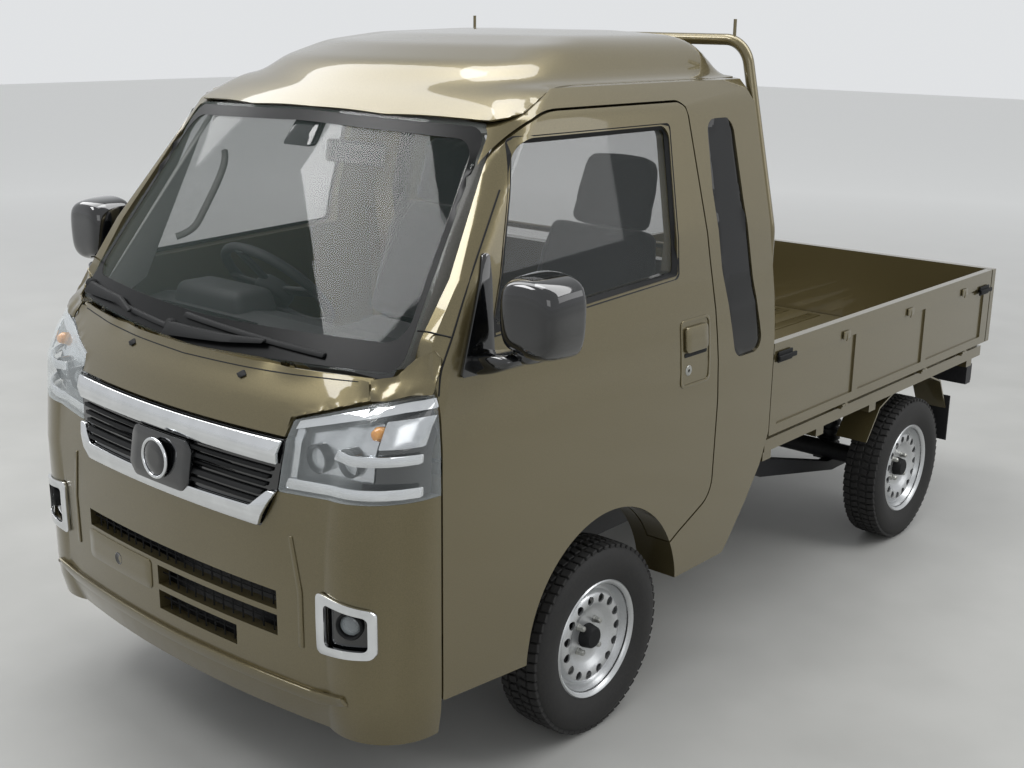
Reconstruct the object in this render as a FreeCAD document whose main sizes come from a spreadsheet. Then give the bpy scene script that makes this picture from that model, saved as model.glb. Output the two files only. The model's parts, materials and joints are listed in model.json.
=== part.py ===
import FreeCAD, Part
import math
import os
import re

import Sketcher
from FreeCAD import Placement, Rotation, Vector

# A cab-over kei truck with an extended, high-roofed cab and a three-way drop-side bed.
# Every shape is drawn from the front axle: x is the vehicle's left, y runs from the front axle
# to the rear, z is the height over the ground. A placement then moves each piece along y, so
# that the finished truck stands centred over the origin, with its nose towards -Y.

doc = FreeCAD.newDocument("kei_truck")

# ---------------------------------------------------------------- the sheet of sizes, in mm

SIZES = [
    # the whole vehicle
    ("overall_length", 3395), ("overall_width", 1475), ("front_overhang", 855),
    ("wheelbase", 1900), ("front_track", 1305), ("rear_track", 1300),
    ("panel_gap", 6), ("seam", 0.3),
    # wheels and tyres
    ("tyre_radius", 268.5), ("tyre_width", 145), ("tread_width", 112), ("bead_radius", 153),
    ("rim_flange_radius", 166), ("rim_half_width", 59), ("rim_wall", 4), ("rim_well_radius", 136),
    ("disc_offset", 42), ("vent_ring_radius", 110), ("vent_radius", 11.5), ("vent_count", 15),
    ("hub_radius", 60), ("hub_half", 24), ("spindle_radius", 20), ("spindle_fit", 0.05),
    # steering axis, from the lower ball joint to the strut's top mount
    ("ball_joint_x", 600), ("ball_joint_height", 170), ("strut_top_x", 520),
    ("strut_top_height", 762), ("strut_radius", 20),
    # cab shell
    ("cab_back", 800), ("door_depth", 75), ("door_frame_depth", 42), ("jamb_depth", 50),
    ("jamb_lip", 26), ("clip_wall", 32), ("roof_wall", 35), ("back_wall", 45),
    ("glass_inset", 2), ("glass_wall", 5), ("arch_radius", 325), ("arch_height", 320),
    ("door_hinge_x", 731), ("door_hinge_y", -558), ("bumper_back", 631),
    ("hinge_pin_radius", 3.5), ("pin_fit", 0.05), ("door_corner_round", 12), ("hood_wall", 12),
    ("hood_sheet", 4),
    ("hood_hinge_x", 300), ("hood_axis_y", -700), ("hood_axis_height", 1112), ("hood_pin_radius", 4),
    ("chrome_proud", 8.25),
    # floor, seats and controls
    ("floor_height", 490), ("floor_wall", 20), ("seat_base_height", 790), ("seat_base_front", -130),
    ("lower_back", 480), ("shelf_height", 985), ("wheelhouse_x", 420), ("wheelhouse_half", 335),
    ("wheelhouse_height", 650), ("seat_x", 330), ("seat_width", 450),
    ("steering_x", 335), ("steering_ring_radius", 176), ("steering_grip_radius", 14),
    # chassis
    ("rail_x", 300), ("rail_width", 50), ("rail_low", 330), ("rail_drop", 100),
    ("rail_high", 560), ("rail_front", -620), ("rail_back", 2440), ("axle_tube_radius", 34),
    # bed
    ("bed_height", 660), ("bed_floor_wall", 20), ("bed_half_width", 705), ("bed_front", 812),
    ("bed_back", 2479), ("gate_height", 288), ("gate_wall", 26), ("gate_axis_x", 733),
    ("gate_axis_height", 650), ("gate_foot", 657), ("tailgate_wall", 32), ("tail_axis_y", 2518),
    ("guard_x", 676), ("guard_y", 836), ("guard_tube_radius", 16.5), ("guard_height", 1827), ("hook_height", 1885),
]

sheet = doc.addObject("Spreadsheet::Sheet", "Dims")
ALIASES = set()


def add_size(alias, value):
    """Write one plain number in the sheet, beside its name."""
    row = len(ALIASES) + 1
    sheet.set(f"A{row}", alias)
    sheet.set(f"B{row}", str(value))
    sheet.setAlias(f"B{row}", alias)
    ALIASES.add(alias)


for alias, value in SIZES:
    add_size(alias, value)

# The cab's table of offsets, one horizontal section a row, from the bumper's skirt to the roof's
# crown. tuck: how far the side lies inside the widest line. nose: how far the middle of the front
# lies behind the bumper's foremost line. corner: half-breadth at which the front curve ends.
# sweep: how far that end lies behind the nose. side: how far behind the nose the straight side
# starts. rear: how far the section's back lies ahead of the cab's back.
OFFSET_COLUMNS = ("height", "tuck", "nose", "corner", "sweep", "side", "rear")
OFFSETS = [
    ("skirt", 267, 12, 30, 520, 40, 185, 0),
    ("lip", 325, 2, 13, 535, 38, 200, 0),
    ("bumper", 380, 0, 8, 545, 36, 205, 0),
    ("brow", 740, 0, 8, 545, 36, 205, 0),
    ("lamp", 860, 0, 14, 550, 45, 205, 0),
    ("grille", 962, 0, 17, 565, 60, 200, 0),
    ("fold", 1030, 4, 45, 590, 70, 190, 0),
    ("scuttle", 1105, 10.5, 104, 640, 80, 165, 0),
    ("waist", 1318, 41.5, 263, 612, 76, 135, 0),
    ("header", 1655, 117, 510, 552, 77, 165, 0),
    ("cant", 1697, 150.5, 563, 505, 87, 190, 0),
    ("gutter", 1718, 171, 595, 470, 95, 205, 0),
    ("dome_foot", 1728, 232, 606, 430, 99, 220, 0),
    ("dome_low", 1772, 252, 664, 405, 105, 235, 20),
    ("dome_mid", 1814, 290, 807, 350, 93, 200, 42),
    ("dome_high", 1837, 345, 990, 290, 85, 165, 75),
    ("crown", 1850, 510, 1290, 150, 25, 55, 160),
]
OFFSET_ROWS = [entry[0] for entry in OFFSETS]
for entry in OFFSETS:
    for column, value in zip(OFFSET_COLUMNS, entry[1:]):
        add_size(f"{entry[0]}_{column}", value)
doc.recompute()


class SheetValues:
    """Reads a named size from the sheet, for the pieces that code shapes."""

    def __getattr__(self, alias):
        return float(getattr(sheet, alias))


size = SheetValues()
HALF_WIDTH = size.overall_width / 2
ROW_SHIFT = "front_overhang - overall_length / 2"
NODES = {}

# ---------------------------------------------------------------- helpers


def formula(text):
    """Put the sheet's name before each size in a formula."""
    return re.sub(r"[a-z][a-z_0-9]*",
                  lambda word: f"Dims.{word[0]}" if word[0] in ALIASES else word[0], str(text))


def bind(item, prop, text):
    item.setExpression(prop, formula(text))


def place(item, x, y, z):
    bind(item, "Placement.Base.x", x)
    bind(item, "Placement.Base.y", f"{ROW_SHIFT} + ({y})")
    bind(item, "Placement.Base.z", z)


def keep(item, label):
    """Name a finished sub-part, which is written to a file of that name."""
    item.Label = label
    NODES[label] = item
    return item


def block(name, corner, lengths):
    """A box from its low corner and its lengths along x, y and z."""
    item = doc.addObject("Part::Box", name)
    for prop, text in zip(("Length", "Width", "Height"), lengths):
        bind(item, prop, text)
    place(item, *corner)
    return item


TURNS = {"x": Rotation(Vector(0, 1, 0), 90), "y": Rotation(Vector(1, 0, 0), -90), "z": Rotation()}


def rod(name, start, radius, length, along):
    """A cylinder from the middle of one end, along x, y or z."""
    item = doc.addObject("Part::Cylinder", name)
    item.Placement = Placement(Vector(), TURNS[along])
    bind(item, "Radius", radius)
    bind(item, "Height", length)
    place(item, *start)
    return item


def fused(name, members):
    item = doc.addObject("Part::MultiFuse", name)
    item.Shapes = members
    return item


def cut_from(name, base, tool):
    item = doc.addObject("Part::Cut", name)
    item.Base = base
    item.Tool = tool
    return item


def together(name, members):
    """Like pieces that don't touch, kept as one sub-part."""
    item = doc.addObject("Part::Compound", name)
    item.Links = members
    return item


def mirrored(name, source):
    """The same piece on the other side of the truck."""
    item = doc.addObject("Part::Mirroring", name)
    item.Source = source
    item.Normal = Vector(1, 0, 0)
    return item


def pair(name, source):
    return together(name, [source, mirrored(f"{name}_right", source)])


def made(name, shape):
    """A piece whose shape is worked out in code, set in the truck's place."""
    item = doc.addObject("Part::Feature", name)
    item.Shape = shape
    item.Placement = Placement(Vector(0, size.front_overhang - size.overall_length / 2, 0), Rotation())
    return item


def body(name):
    item = doc.addObject("PartDesign::Body", name)
    bind(item, "Placement.Base.y", ROW_SHIFT)
    return item


def sketch_on(owner, name, plane, level):
    """A sketch on one of the body's planes, moved to a level along that plane's axis."""
    sketch = owner.newObject("Sketcher::SketchObject", name)
    support = [item for item in owner.Origin.OriginFeatures if item.Role == f"{plane}_Plane"]
    sketch.AttachmentSupport = [(support[0], "")]
    sketch.MapMode = "FlatFace"
    bind(sketch, "AttachmentOffset.Base.z", f"-({level})" if plane == "XZ" else level)
    return sketch


def outline(sketch, points):
    """A closed polygon, each of whose corners is held at a pair of formulas."""
    count = len(points)
    start = [Vector(100 * math.cos(math.tau * i / count), 100 * math.sin(math.tau * i / count), 0)
             for i in range(count)]
    for i in range(count):
        sketch.addGeometry(Part.LineSegment(start[i], start[(i + 1) % count]), False)
    for i in range(count):
        sketch.addConstraint(Sketcher.Constraint("Coincident", i, 2, (i + 1) % count, 1))
    for i, corner in enumerate(points):
        for kind, text in zip(("DistanceX", "DistanceY"), corner):
            index = sketch.addConstraint(Sketcher.Constraint(kind, i, 1, 50.0 + i))
            bind(sketch, f"Constraints[{index}]", text)


def circle(sketch, middle, radius):
    sketch.addGeometry(Part.Circle(Vector(10, 10, 0), Vector(0, 0, 1), 5), False)
    for kind, text in zip(("DistanceX", "DistanceY"), middle):
        index = sketch.addConstraint(Sketcher.Constraint(kind, 0, 3, 10.0))
        bind(sketch, f"Constraints[{index}]", text)
    index = sketch.addConstraint(Sketcher.Constraint("Radius", 0, 5.0))
    bind(sketch, f"Constraints[{index}]", radius)


def pad(owner, name, plane, level, length, points=None, disc=None):
    """Adds a slab from a level towards + along the plane's axis."""
    sketch = sketch_on(owner, f"{name}_sketch", plane, level)
    if points:
        outline(sketch, points)
    else:
        circle(sketch, *disc)
    feature = owner.newObject("PartDesign::Pad", name)
    feature.Profile = sketch
    bind(feature, "Length", length)
    feature.Reversed = plane == "XZ"
    return feature


def pocket(owner, name, plane, level, length, points=None, disc=None):
    """Cuts a slab from a level towards + along the plane's axis."""
    sketch = sketch_on(owner, f"{name}_sketch", plane, level)
    if points:
        outline(sketch, points)
    else:
        circle(sketch, *disc)
    feature = owner.newObject("PartDesign::Pocket", name)
    feature.Profile = sketch
    feature.Type = 0
    bind(feature, "Length", length)
    feature.Reversed = plane != "XZ"
    return feature


def turned(owner, name, points):
    """Turns a profile of (along x, radius) corners about the x axis."""
    sketch = sketch_on(owner, f"{name}_sketch", "XZ", 0)
    outline(sketch, points)
    feature = owner.newObject("PartDesign::Revolution", name)
    feature.Profile = sketch
    feature.ReferenceAxis = (sketch, ["H_Axis"])
    feature.Angle = 360
    return feature


def grown(points, distance):
    """The same outline with every side moved outwards by a distance."""
    area = sum(a[0] * b[1] - b[0] * a[1] for a, b in zip(points, points[1:] + points[:1]))
    turn = 1 if area > 0 else -1
    moved = []
    for before, here, after in zip(points[-1:] + points[:-1], points, points[1:] + points[:1]):
        first = Vector(here[0] - before[0], here[1] - before[1], 0).normalize()
        second = Vector(after[0] - here[0], after[1] - here[1], 0).normalize()
        normals = (Vector(first.y, -first.x, 0) + Vector(second.y, -second.x, 0)) * turn
        step = normals * (distance / (1 + first.dot(second)))
        outside = (first.x * second.y - first.y * second.x) * turn > 0
        radius = here[2] + (distance if outside else -distance) if here[2] else 0
        moved.append((here[0] + step.x, here[1] + step.y, max(radius, 0)))
    return moved


def rounded_face(points, spot):
    """A flat face from (a, b, corner radius) points, each put in space by spot(a, b)."""
    edges = []
    joints = []
    for before, here, after in zip(points[-1:] + points[:-1], points, points[1:] + points[:1]):
        corner = Vector(here[0], here[1], 0)
        back = (Vector(before[0], before[1], 0) - corner).normalize()
        ahead = (Vector(after[0], after[1], 0) - corner).normalize()
        half = math.acos(max(-1, min(1, back.dot(ahead)))) / 2
        if here[2] < 0.5 or math.pi / 2 - half < 0.01:
            joints.append((corner, None, corner))
            continue
        reach = here[2] / math.tan(half)
        middle = corner + (back + ahead).normalize() * (here[2] / math.sin(half) - here[2])
        joints.append((corner + back * reach, middle, corner + ahead * reach))
    for (start, middle, end), following in zip(joints, joints[1:] + joints[:1]):
        if middle:
            edges.append(Part.Arc(*[spot(p.x, p.y) for p in (start, middle, end)]).toShape())
        edges.append(Part.makeLine(spot(end.x, end.y), spot(following[0].x, following[0].y)))
    return Part.Face(Part.Wire(edges))


def front_prism(points, low, high):
    """An outline seen from the front, run from one y to another."""
    return rounded_face(points, lambda a, b: Vector(a, low, b)).extrude(Vector(0, high - low, 0))


def side_prism(points, low, high):
    """An outline seen from the side, run from one x to another."""
    return rounded_face(points, lambda a, b: Vector(low, a, b)).extrude(Vector(high - low, 0, 0))


def both_sides(points):
    """A front outline's left half, joined to its mirror image."""
    return points + [(-a, b, radius) for a, b, radius in reversed(points) if a != 0]


def box(x, y, z):
    """A plain box from pairs of low and high values."""
    return Part.makeBox(x[1] - x[0], y[1] - y[0], z[1] - z[0], Vector(x[0], y[0], z[0]))


# ---------------------------------------------------------------- the cab's surface


def section(row, lower, upper, front, back, drop):
    """One horizontal section of the cab, drawn in by the given amounts."""
    value = {column: getattr(size, f"{row}_{column}") for column in OFFSET_COLUMNS}
    inset = lower if value["height"] <= size.scuttle_height else upper
    half = HALF_WIDTH - value["tuck"] - inset
    nose = value["nose"] - size.front_overhang + front
    corner_x = value["corner"] - 0.5 * inset
    corner_y = nose + value["sweep"]
    side_y = nose + value["side"] + 0.2 * inset
    rear = size.cab_back - value["rear"] - back
    height = value["height"] - (drop if value["height"] > size.header_height else 0)
    # the corner's arc is tangent to the straight side
    across = half - corner_x
    along = side_y - corner_y
    radius = (across ** 2 + along ** 2) / (2 * across)
    middle = math.atan2(along, radius - across) / 2
    knee = (half - radius + radius * math.cos(middle), side_y - radius * math.sin(middle))

    def spot(x, y):
        return Vector(x, y, height)

    left = [Part.makeLine(spot(half, rear), spot(half, side_y)),
            Part.Arc(spot(half, side_y), spot(*knee), spot(corner_x, corner_y)).toShape()]
    bow = Part.Arc(spot(corner_x, corner_y), spot(0, nose), spot(-corner_x, corner_y)).toShape()
    right = [Part.Arc(spot(-corner_x, corner_y), spot(-knee[0], knee[1]), spot(-half, side_y)).toShape(),
             Part.makeLine(spot(-half, side_y), spot(-half, rear))]
    return Part.Wire(left + [bow] + right + [Part.makeLine(spot(-half, rear), spot(half, rear))])


def cab_form(first, last, lower=0.0, upper=0.0, front=0.0, back=0.0, drop=0.0):
    """The cab's outer form between two rows of the table, drawn in by the given amounts."""
    rows = OFFSET_ROWS[OFFSET_ROWS.index(first):OFFSET_ROWS.index(last) + 1]
    return Part.makeLoft([section(row, lower, upper, front, back, drop) for row in rows], True, True)


def skin(first, last, outside, inside):
    """A sheet of the cab's surface, between two distances inside it."""
    return cab_form(first, last, outside, outside, outside, outside).cut(
        cab_form(first, last, inside, inside, inside, inside))


NOSE = -size.front_overhang
SPLIT = -size.bumper_back          # where the front clip meets the doors
DOOR_FRONT = SPLIT + size.panel_gap

# Outlines seen from the side are (y, z, corner radius) and from the front (x, z, corner radius).
DOOR = [(DOOR_FRONT, 352, 6), (-426, 334, 0), (-290, 322, 0), (200, 430, 0), (330, 493, 0),
        (488, 560, 80), (497, 840, 300), (467, 1250, 300), (446, 1668, 40), (-252, 1668, 320),
        (-598, 1192, 60), (DOOR_FRONT, 1120, 40)]
DOOR_GLASS = [(-440, 1192, 12), (310, 1222, 14), (319, 1330, 0), (350, 1612, 34), (-272, 1612, 105)]
QUARTER_GLASS = [(583, 948, 42), (733, 948, 42), (686, 1161, 150), (671, 1389, 150),
                 (669, 1618, 44), (538, 1618, 38), (520, 1430, 0), (527, 1210, 200)]
SIDE_FRAME = [(-800, 1000, 0), (SPLIT + size.seam, 1000, 0), (SPLIT + size.seam, 352, 0),
              (-426, 334, 0), (-290, 322, 0), (240, 350, 0), (572, 350, 20), (688, 484, 60),
              (760, 583, 60), (801, 679, 0), (801, 1900, 0), (-800, 1900, 0)]
ROOF_SEAM = [(-420, 1580, 0), (-300, 1628, 0), (-60, 1721, 0), (801, 1721, 0), (801, 1900, 0),
             (-420, 1900, 0)]
WINDSCREEN = both_sides([(0, 1099, 0), (646, 1121, 42), (561, 1641, 40), (0, 1655, 0)])
REAR_GLASS = both_sides([(470, 1160, 50), (425, 1600, 50)])
GRILLE = both_sides([(352, 744, 8), (400, 839, 0), (417, 962, 6)])
LAMP = [(403, 838, 6), (744, 863, 0), (744, 1096, 0), (690, 1085, 0), (600, 1060, 0), (428, 1006, 8)]
BUMPER = both_sides([(760, 250, 0), (760, 863.5, 0), (390, 836.5, 0), (340, 744, 0)])
HOOD = both_sides([(414, 968, 0), (422, 1011, 0), (597, 1069, 0), (580, 1111, 8)])
CLIP_TOP = both_sides([(760, 240, 0), (760, 1101, 0), (690, 1091, 0), (604, 1066, 0), (586, 1119, 0)])

arch_left = Part.makeCylinder(size.arch_radius, 500, Vector(400, 0, size.arch_height), Vector(1, 0, 0))


def mirror_shape(shape):
    return shape.mirror(Vector(), Vector(1, 0, 0))


# ---------------------------------------------------------------- doors

outer_side = cab_form("skirt", "cant")
door_inner = cab_form("skirt", "cant", size.door_depth, size.door_frame_depth, 60, 60)
door_shell = outer_side.cut(door_inner).common(side_prism(DOOR, 400, 760)).cut(arch_left)
door_shell = door_shell.cut(side_prism(DOOR_GLASS, 400, 760))
# inboard of this straight-sided form the door would swing into the pillar's jamb
door_limit = size.door_depth + size.door_corner_round
door_corner_x = HALF_WIDTH - door_limit
door_shell = door_shell.cut(cab_form("skirt", "cant", door_limit, size.door_frame_depth + 10, -400, -200))

HINGE_LEVELS = [470, 905]          # the low end of each door hinge
HINGE_HEIGHT = 46
hinge_x = size.door_hinge_x
hinge_y = size.door_hinge_y


def hinge_pin(radius, level, reach):
    return Part.makeCylinder(radius, HINGE_HEIGHT + 2 * reach, Vector(hinge_x, hinge_y, level - reach))


for level in HINGE_LEVELS:
    door_shell = door_shell.cut(box((600, HALF_WIDTH - 2.6), (DOOR_FRONT - 5, hinge_y + 9),
                                    (level, level + HINGE_HEIGHT)))
    door_shell = door_shell.cut(hinge_pin(size.hinge_pin_radius + size.pin_fit, level, 12))
keep(made("door_left", door_shell), "door_left")
keep(made("door_right", mirror_shape(door_shell)), "door_right")

door_glass = skin("scuttle", "cant", 12, 12 + size.glass_wall)
door_glass = door_glass.common(side_prism(grown(DOOR_GLASS, -size.seam), 400, 760))
keep(made("door_glass_left", door_glass), "door_glass_left")
keep(made("door_glass_right", mirror_shape(door_glass)), "door_glass_right")

# ---------------------------------------------------------------- side frames

jamb_lower = size.door_depth + size.panel_gap
jamb_upper = size.door_frame_depth + size.panel_gap
inner_lower = jamb_lower + size.jamb_depth
inner_upper = jamb_upper + size.jamb_depth - 10
outer_all = cab_form("skirt", "crown")
jamb_face = cab_form("skirt", "cant", jamb_lower, jamb_upper, 60, 60)
cab_room = cab_form("skirt", "crown", inner_lower, inner_upper, 45, -5, size.roof_wall)
side_frame = outer_all.common(side_prism(SIDE_FRAME, 380, 760)).cut(cab_room)
side_frame = side_frame.cut(side_prism(ROOF_SEAM, 380, 760))
door_room = side_prism(grown(DOOR, size.panel_gap), 380, 760).cut(jamb_face)
side_frame = side_frame.cut(door_room)
arch_lip = Part.makeCylinder(size.arch_radius + size.jamb_lip, 500, Vector(400, 0, size.arch_height),
                             Vector(1, 0, 0))
side_frame = side_frame.cut(side_prism(grown(DOOR, -size.jamb_lip), 380, 760).cut(arch_lip))
side_frame = side_frame.cut(arch_left)
side_frame = side_frame.cut(front_prism(CLIP_TOP, NOSE - 50, SPLIT))
door_zone = side_prism(grown(DOOR, size.panel_gap), 380, 760)
door_zones = door_zone.fuse(mirror_shape(door_zone))
side_frame = side_frame.cut(front_prism(grown(WINDSCREEN, size.seam), NOSE - 50, 0).cut(door_zone))
side_frame = side_frame.cut(side_prism(grown(QUARTER_GLASS, size.seam), 380, 760))
hinge_reach = math.hypot(door_corner_x - size.door_hinge_x, DOOR_FRONT - size.door_hinge_y)
hinge_room = Part.makeCylinder(hinge_reach + size.panel_gap, 1000,
                               Vector(size.door_hinge_x, size.door_hinge_y, 300))
side_frame = side_frame.cut(hinge_room.common(box((500, 800), (DOOR_FRONT - 4, 0), (300, 1280))))
side_frame = max(side_frame.Solids, key=lambda solid: solid.Volume)
side_frame = side_frame.cut(box((560, HALF_WIDTH - inner_lower), (SPLIT, -560), (300, 940)))
for level in HINGE_LEVELS:
    arm = box((HALF_WIDTH - inner_lower, hinge_x),
              (hinge_y - size.hinge_pin_radius, hinge_y + size.hinge_pin_radius),
              (level + 6, level + HINGE_HEIGHT - 6))
    foot = box((HALF_WIDTH - inner_lower, HALF_WIDTH - inner_lower + 20),
               (DOOR_FRONT + size.jamb_lip - 6, hinge_y + 2), (level + 6, level + HINGE_HEIGHT - 6))
    side_frame = side_frame.fuse(foot).fuse(arm).fuse(hinge_pin(size.hinge_pin_radius, level, 10))
keep(made("side_frame_left", side_frame), "side_frame_left")
keep(made("side_frame_right", mirror_shape(side_frame)), "side_frame_right")

# ---------------------------------------------------------------- roof, back and glass

roof = outer_all.common(side_prism(grown(ROOF_SEAM, -size.seam), -760, 760))
roof = roof.cut(cab_form("skirt", "crown", inner_lower, 34, 45, size.back_wall, size.roof_wall))
roof = roof.cut(front_prism(grown(WINDSCREEN, size.seam), NOSE - 50, 0))
keep(made("roof", max(roof.Solids, key=lambda solid: solid.Volume)), "roof")

back_panel = cab_form("skirt", "crown", inner_lower + size.seam, inner_upper + size.seam, 45, 0,
                      size.roof_wall)
back_panel = back_panel.common(box((-760, 760), (size.cab_back - size.back_wall, 900),
                                   (size.shelf_height + size.seam, 1721 - size.seam)))
back_panel = back_panel.cut(front_prism(REAR_GLASS, 0, 900))
keep(made("cab_back", back_panel), "cab_back")

windscreen = skin("fold", "gutter", size.glass_inset, size.glass_inset + size.glass_wall)
windscreen = windscreen.common(front_prism(WINDSCREEN, NOSE, 100)).cut(door_zones)
quarter = skin("skirt", "cant", 6, 6 + size.glass_wall).common(side_prism(QUARTER_GLASS, 400, 760))
rear_glass = front_prism(grown(REAR_GLASS, -size.seam), size.cab_back - 30,
                         size.cab_back - 30 + size.glass_wall)
cab_windows = Part.makeCompound([windscreen, quarter, mirror_shape(quarter), rear_glass])
keep(made("cab_windows", cab_windows), "cab_windows")

# ---------------------------------------------------------------- nose: bumper, grille, lamps, hood

clip = cab_form("skirt", "waist").cut(
    cab_form("skirt", "waist", size.clip_wall, size.clip_wall, size.clip_wall, -5))
clip = clip.common(box((-760, 760), (NOSE - 5, SPLIT), (200, 1200)))

LOWER_GRILLE = [   # one slot a row: low x, high x, low z, high z
    (-392, 393, 545, 592),
    (-60, 393, 478, 530),
    (-60, 250, 410, 462),
]
FOG_BEZEL = [(533, 486, 14), (668, 500, 14), (668, 606, 14), (533, 622, 14)]
PLATE_BOLT = (105, 520)          # half the spacing of the two plate bolts, and their height
PLATE_X = -225

bumper = clip.common(front_prism(BUMPER, NOSE - 5, 0)).cut(front_prism(GRILLE, NOSE - 5, 0))
for low_x, high_x, low_z, high_z in LOWER_GRILLE:
    bumper = bumper.cut(box((low_x, high_x), (NOSE - 5, -700), (low_z, high_z)))
for side in (-1, 1):
    opening = front_prism([(side * x, z, radius) for x, z, radius in grown(FOG_BEZEL, size.seam)],
                          NOSE - 5, -560)
    bumper = bumper.cut(opening)
    bolt = Part.makeCylinder(3.5, 200, Vector(PLATE_X + side * PLATE_BOLT[0], NOSE - 50, PLATE_BOLT[1]),
                             Vector(0, 1, 0))
    bumper = bumper.cut(bolt)
stay_y = (NOSE + 25, size.rail_front - size.seam)
for side in (-1, 1):
    stay_x = sorted((side * (size.rail_x + 5), side * (size.rail_x + size.rail_width - 5)))
    bumper = bumper.fuse(box(stay_x, stay_y, (size.rail_low + 15, size.rail_low + 75)))
keep(made("front_bumper", bumper), "front_bumper")

CHROME_BARS = [   # the bar over the louvres and the one under them
    both_sides([(372, 906, 6), (404, 955, 8)]),
    both_sides([(346, 750, 8), (384, 826, 8)]),
]
grille_form = clip.common(front_prism(grown(GRILLE, -size.seam), NOSE - 5, 0))
for level in range(5):
    groove = box((92, 375), (NOSE - 5, NOSE + 24), (842 + level * 14, 849 + level * 14))
    grille_form = grille_form.cut(groove).cut(mirror_shape(groove))
bar_sheet = skin("bumper", "fold", -size.chrome_proud, 5)
for bar_outline in CHROME_BARS:
    grille_form = grille_form.fuse(bar_sheet.common(front_prism(bar_outline, NOSE - 5, -700)))
keep(made("front_grille", grille_form), "front_grille")

lamp = clip.common(front_prism(LAMP, NOSE - 5, SPLIT))
keep(made("headlamps", Part.makeCompound([lamp, mirror_shape(lamp)])), "headlamps")

hood_zone = front_prism(HOOD, NOSE - 5, -560)
hood = skin("grille", "waist", 0, size.hood_sheet).common(hood_zone).cut(
    front_prism(grown(WINDSCREEN, size.panel_gap + 2), NOSE - 50, 0))
hood_frame = skin("grille", "waist", size.hood_sheet, size.hood_wall).common(hood_zone).cut(
    front_prism(grown(WINDSCREEN, size.panel_gap + 14), NOSE - 50, 0))
hood = hood.fuse(hood_frame)
hood = max(hood.Solids, key=lambda solid: solid.Volume)
HOOD_EAR = [   # the ear's outline, from the hinge axis: it drops under the glass's edge
    (8, -2), (6, 6), (0, 8), (-6, 6), (-8, -2), (-7, -22), (-13, -33), (-24, -38), (-56, -36),
    (-64, -52), (-30, -50), (-6, -44), (4, -22)]
for side in (-1, 1):
    start_x, end_x = sorted((side * (size.hood_hinge_x - 9), side * (size.hood_hinge_x + 9)))
    ear = side_prism([(size.hood_axis_y + y, size.hood_axis_height + z, 0) for y, z in HOOD_EAR],
                     start_x, end_x)
    hood = hood.fuse(ear.common(cab_form("grille", "waist", 2, 2, 2, 0)))
    hood = hood.cut(Part.makeCylinder(size.hood_pin_radius + size.pin_fit, 30,
                                      Vector(side * size.hood_hinge_x - 15, size.hood_axis_y,
                                             size.hood_axis_height), Vector(1, 0, 0)))
keep(made("hood", hood), "hood")

fog = cab_form("skirt", "brow", 6, 6, 6, 6).common(front_prism(FOG_BEZEL, NOSE - 5, -640))
fog = fog.cut(cab_form("skirt", "brow", 60, 60, 60, 0))
keep(made("fog_lamps", Part.makeCompound([fog, mirror_shape(fog)])), "fog_lamps")

WIPERS = [   # one wiper a row: pivot x, pivot z, tip x, tip z
    (-600, 1156, -134, 1132),
    (-110, 1128, 420, 1145),
]
wiper_seat = size.glass_inset - size.seam
wiper_sheet = cab_form("fold", "waist", -10, -10, -10, 0).cut(
    cab_form("fold", "waist", wiper_seat, wiper_seat, wiper_seat, 0))
wiper_bars = []
for pivot_x, pivot_z, tip_x, tip_z in WIPERS:
    strip = [(pivot_x, pivot_z - 8, 0), (tip_x, tip_z - 6, 0), (tip_x, tip_z + 6, 0),
             (pivot_x, pivot_z + 8, 0)]
    wiper_bars.append(wiper_sheet.common(front_prism(strip, NOSE - 20, -500)))
keep(made("wipers", Part.makeCompound(wiper_bars)), "wipers")

# ---------------------------------------------------------------- door mirrors

MIRROR_HEAD = [(782, 1178, 30), (835, 1176, 12), (868, 1158, 20), (942, 1176, 26), (948, 1330, 34),
               (905, 1352, 30), (800, 1344, 30), (774, 1320, 30)]
mirror_head = front_prism(MIRROR_HEAD, -505, -385)
mirror_arm = front_prism([(722, 1112, 4), (760, 1120, 10), (850, 1168, 10), (850, 1200, 0),
                          (782, 1200, 0), (760, 1172, 20), (718, 1172, 4)], -545, -468)
sail = [(-556, 1118, 6), (-452, 1112, 6), (-424, 1372, 8), (-448, 1372, 6)]
sail_plate = cab_form("scuttle", "cant", -8, -8, 0, 0).cut(
    cab_form("scuttle", "cant", -size.seam, -size.seam, 0, 0)).common(side_prism(sail, 400, 800))
door_face = cab_form("scuttle", "cant", -1, -1, -1, 0)
mirror_left = mirror_head.fuse(mirror_arm).cut(door_face).fuse(sail_plate)
keep(made("mirror_left", mirror_left), "mirror_left")
keep(made("mirror_right", mirror_shape(mirror_left)), "mirror_right")

# ---------------------------------------------------------------- floor, dash, seats and steering

inner_half = f"overall_width / 2 - {inner_lower} - 1.6"
floor = body("cab_floor_panel")
pad(floor, "folded_sheet", "YZ", f"-({inner_half})", f"2 * ({inner_half})", [
    ("seam - bumper_back", "floor_height - floor_wall"), ("seat_base_front", "floor_height - floor_wall"),
    ("seat_base_front", "seat_base_height - floor_wall"),
    ("lower_back", "seat_base_height - floor_wall"), ("lower_back", "shelf_height - floor_wall"),
    ("cab_back", "shelf_height - floor_wall"), ("cab_back", "shelf_height"),
    ("lower_back - floor_wall", "shelf_height"), ("lower_back - floor_wall", "seat_base_height"),
    ("seat_base_front - floor_wall", "seat_base_height"),
    ("seat_base_front - floor_wall", "floor_height"), ("seam - bumper_back", "floor_height")])
for name, level in (("left", "wheelhouse_x"), ("right", "-(overall_width / 2)")):
    pocket(floor, f"wheel_room_{name}", "YZ", level, "overall_width / 2 - wheelhouse_x", [
        ("-wheelhouse_half", 100), ("wheelhouse_half", 100),
        ("wheelhouse_half", "wheelhouse_height"), ("-wheelhouse_half", "wheelhouse_height")])
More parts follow.
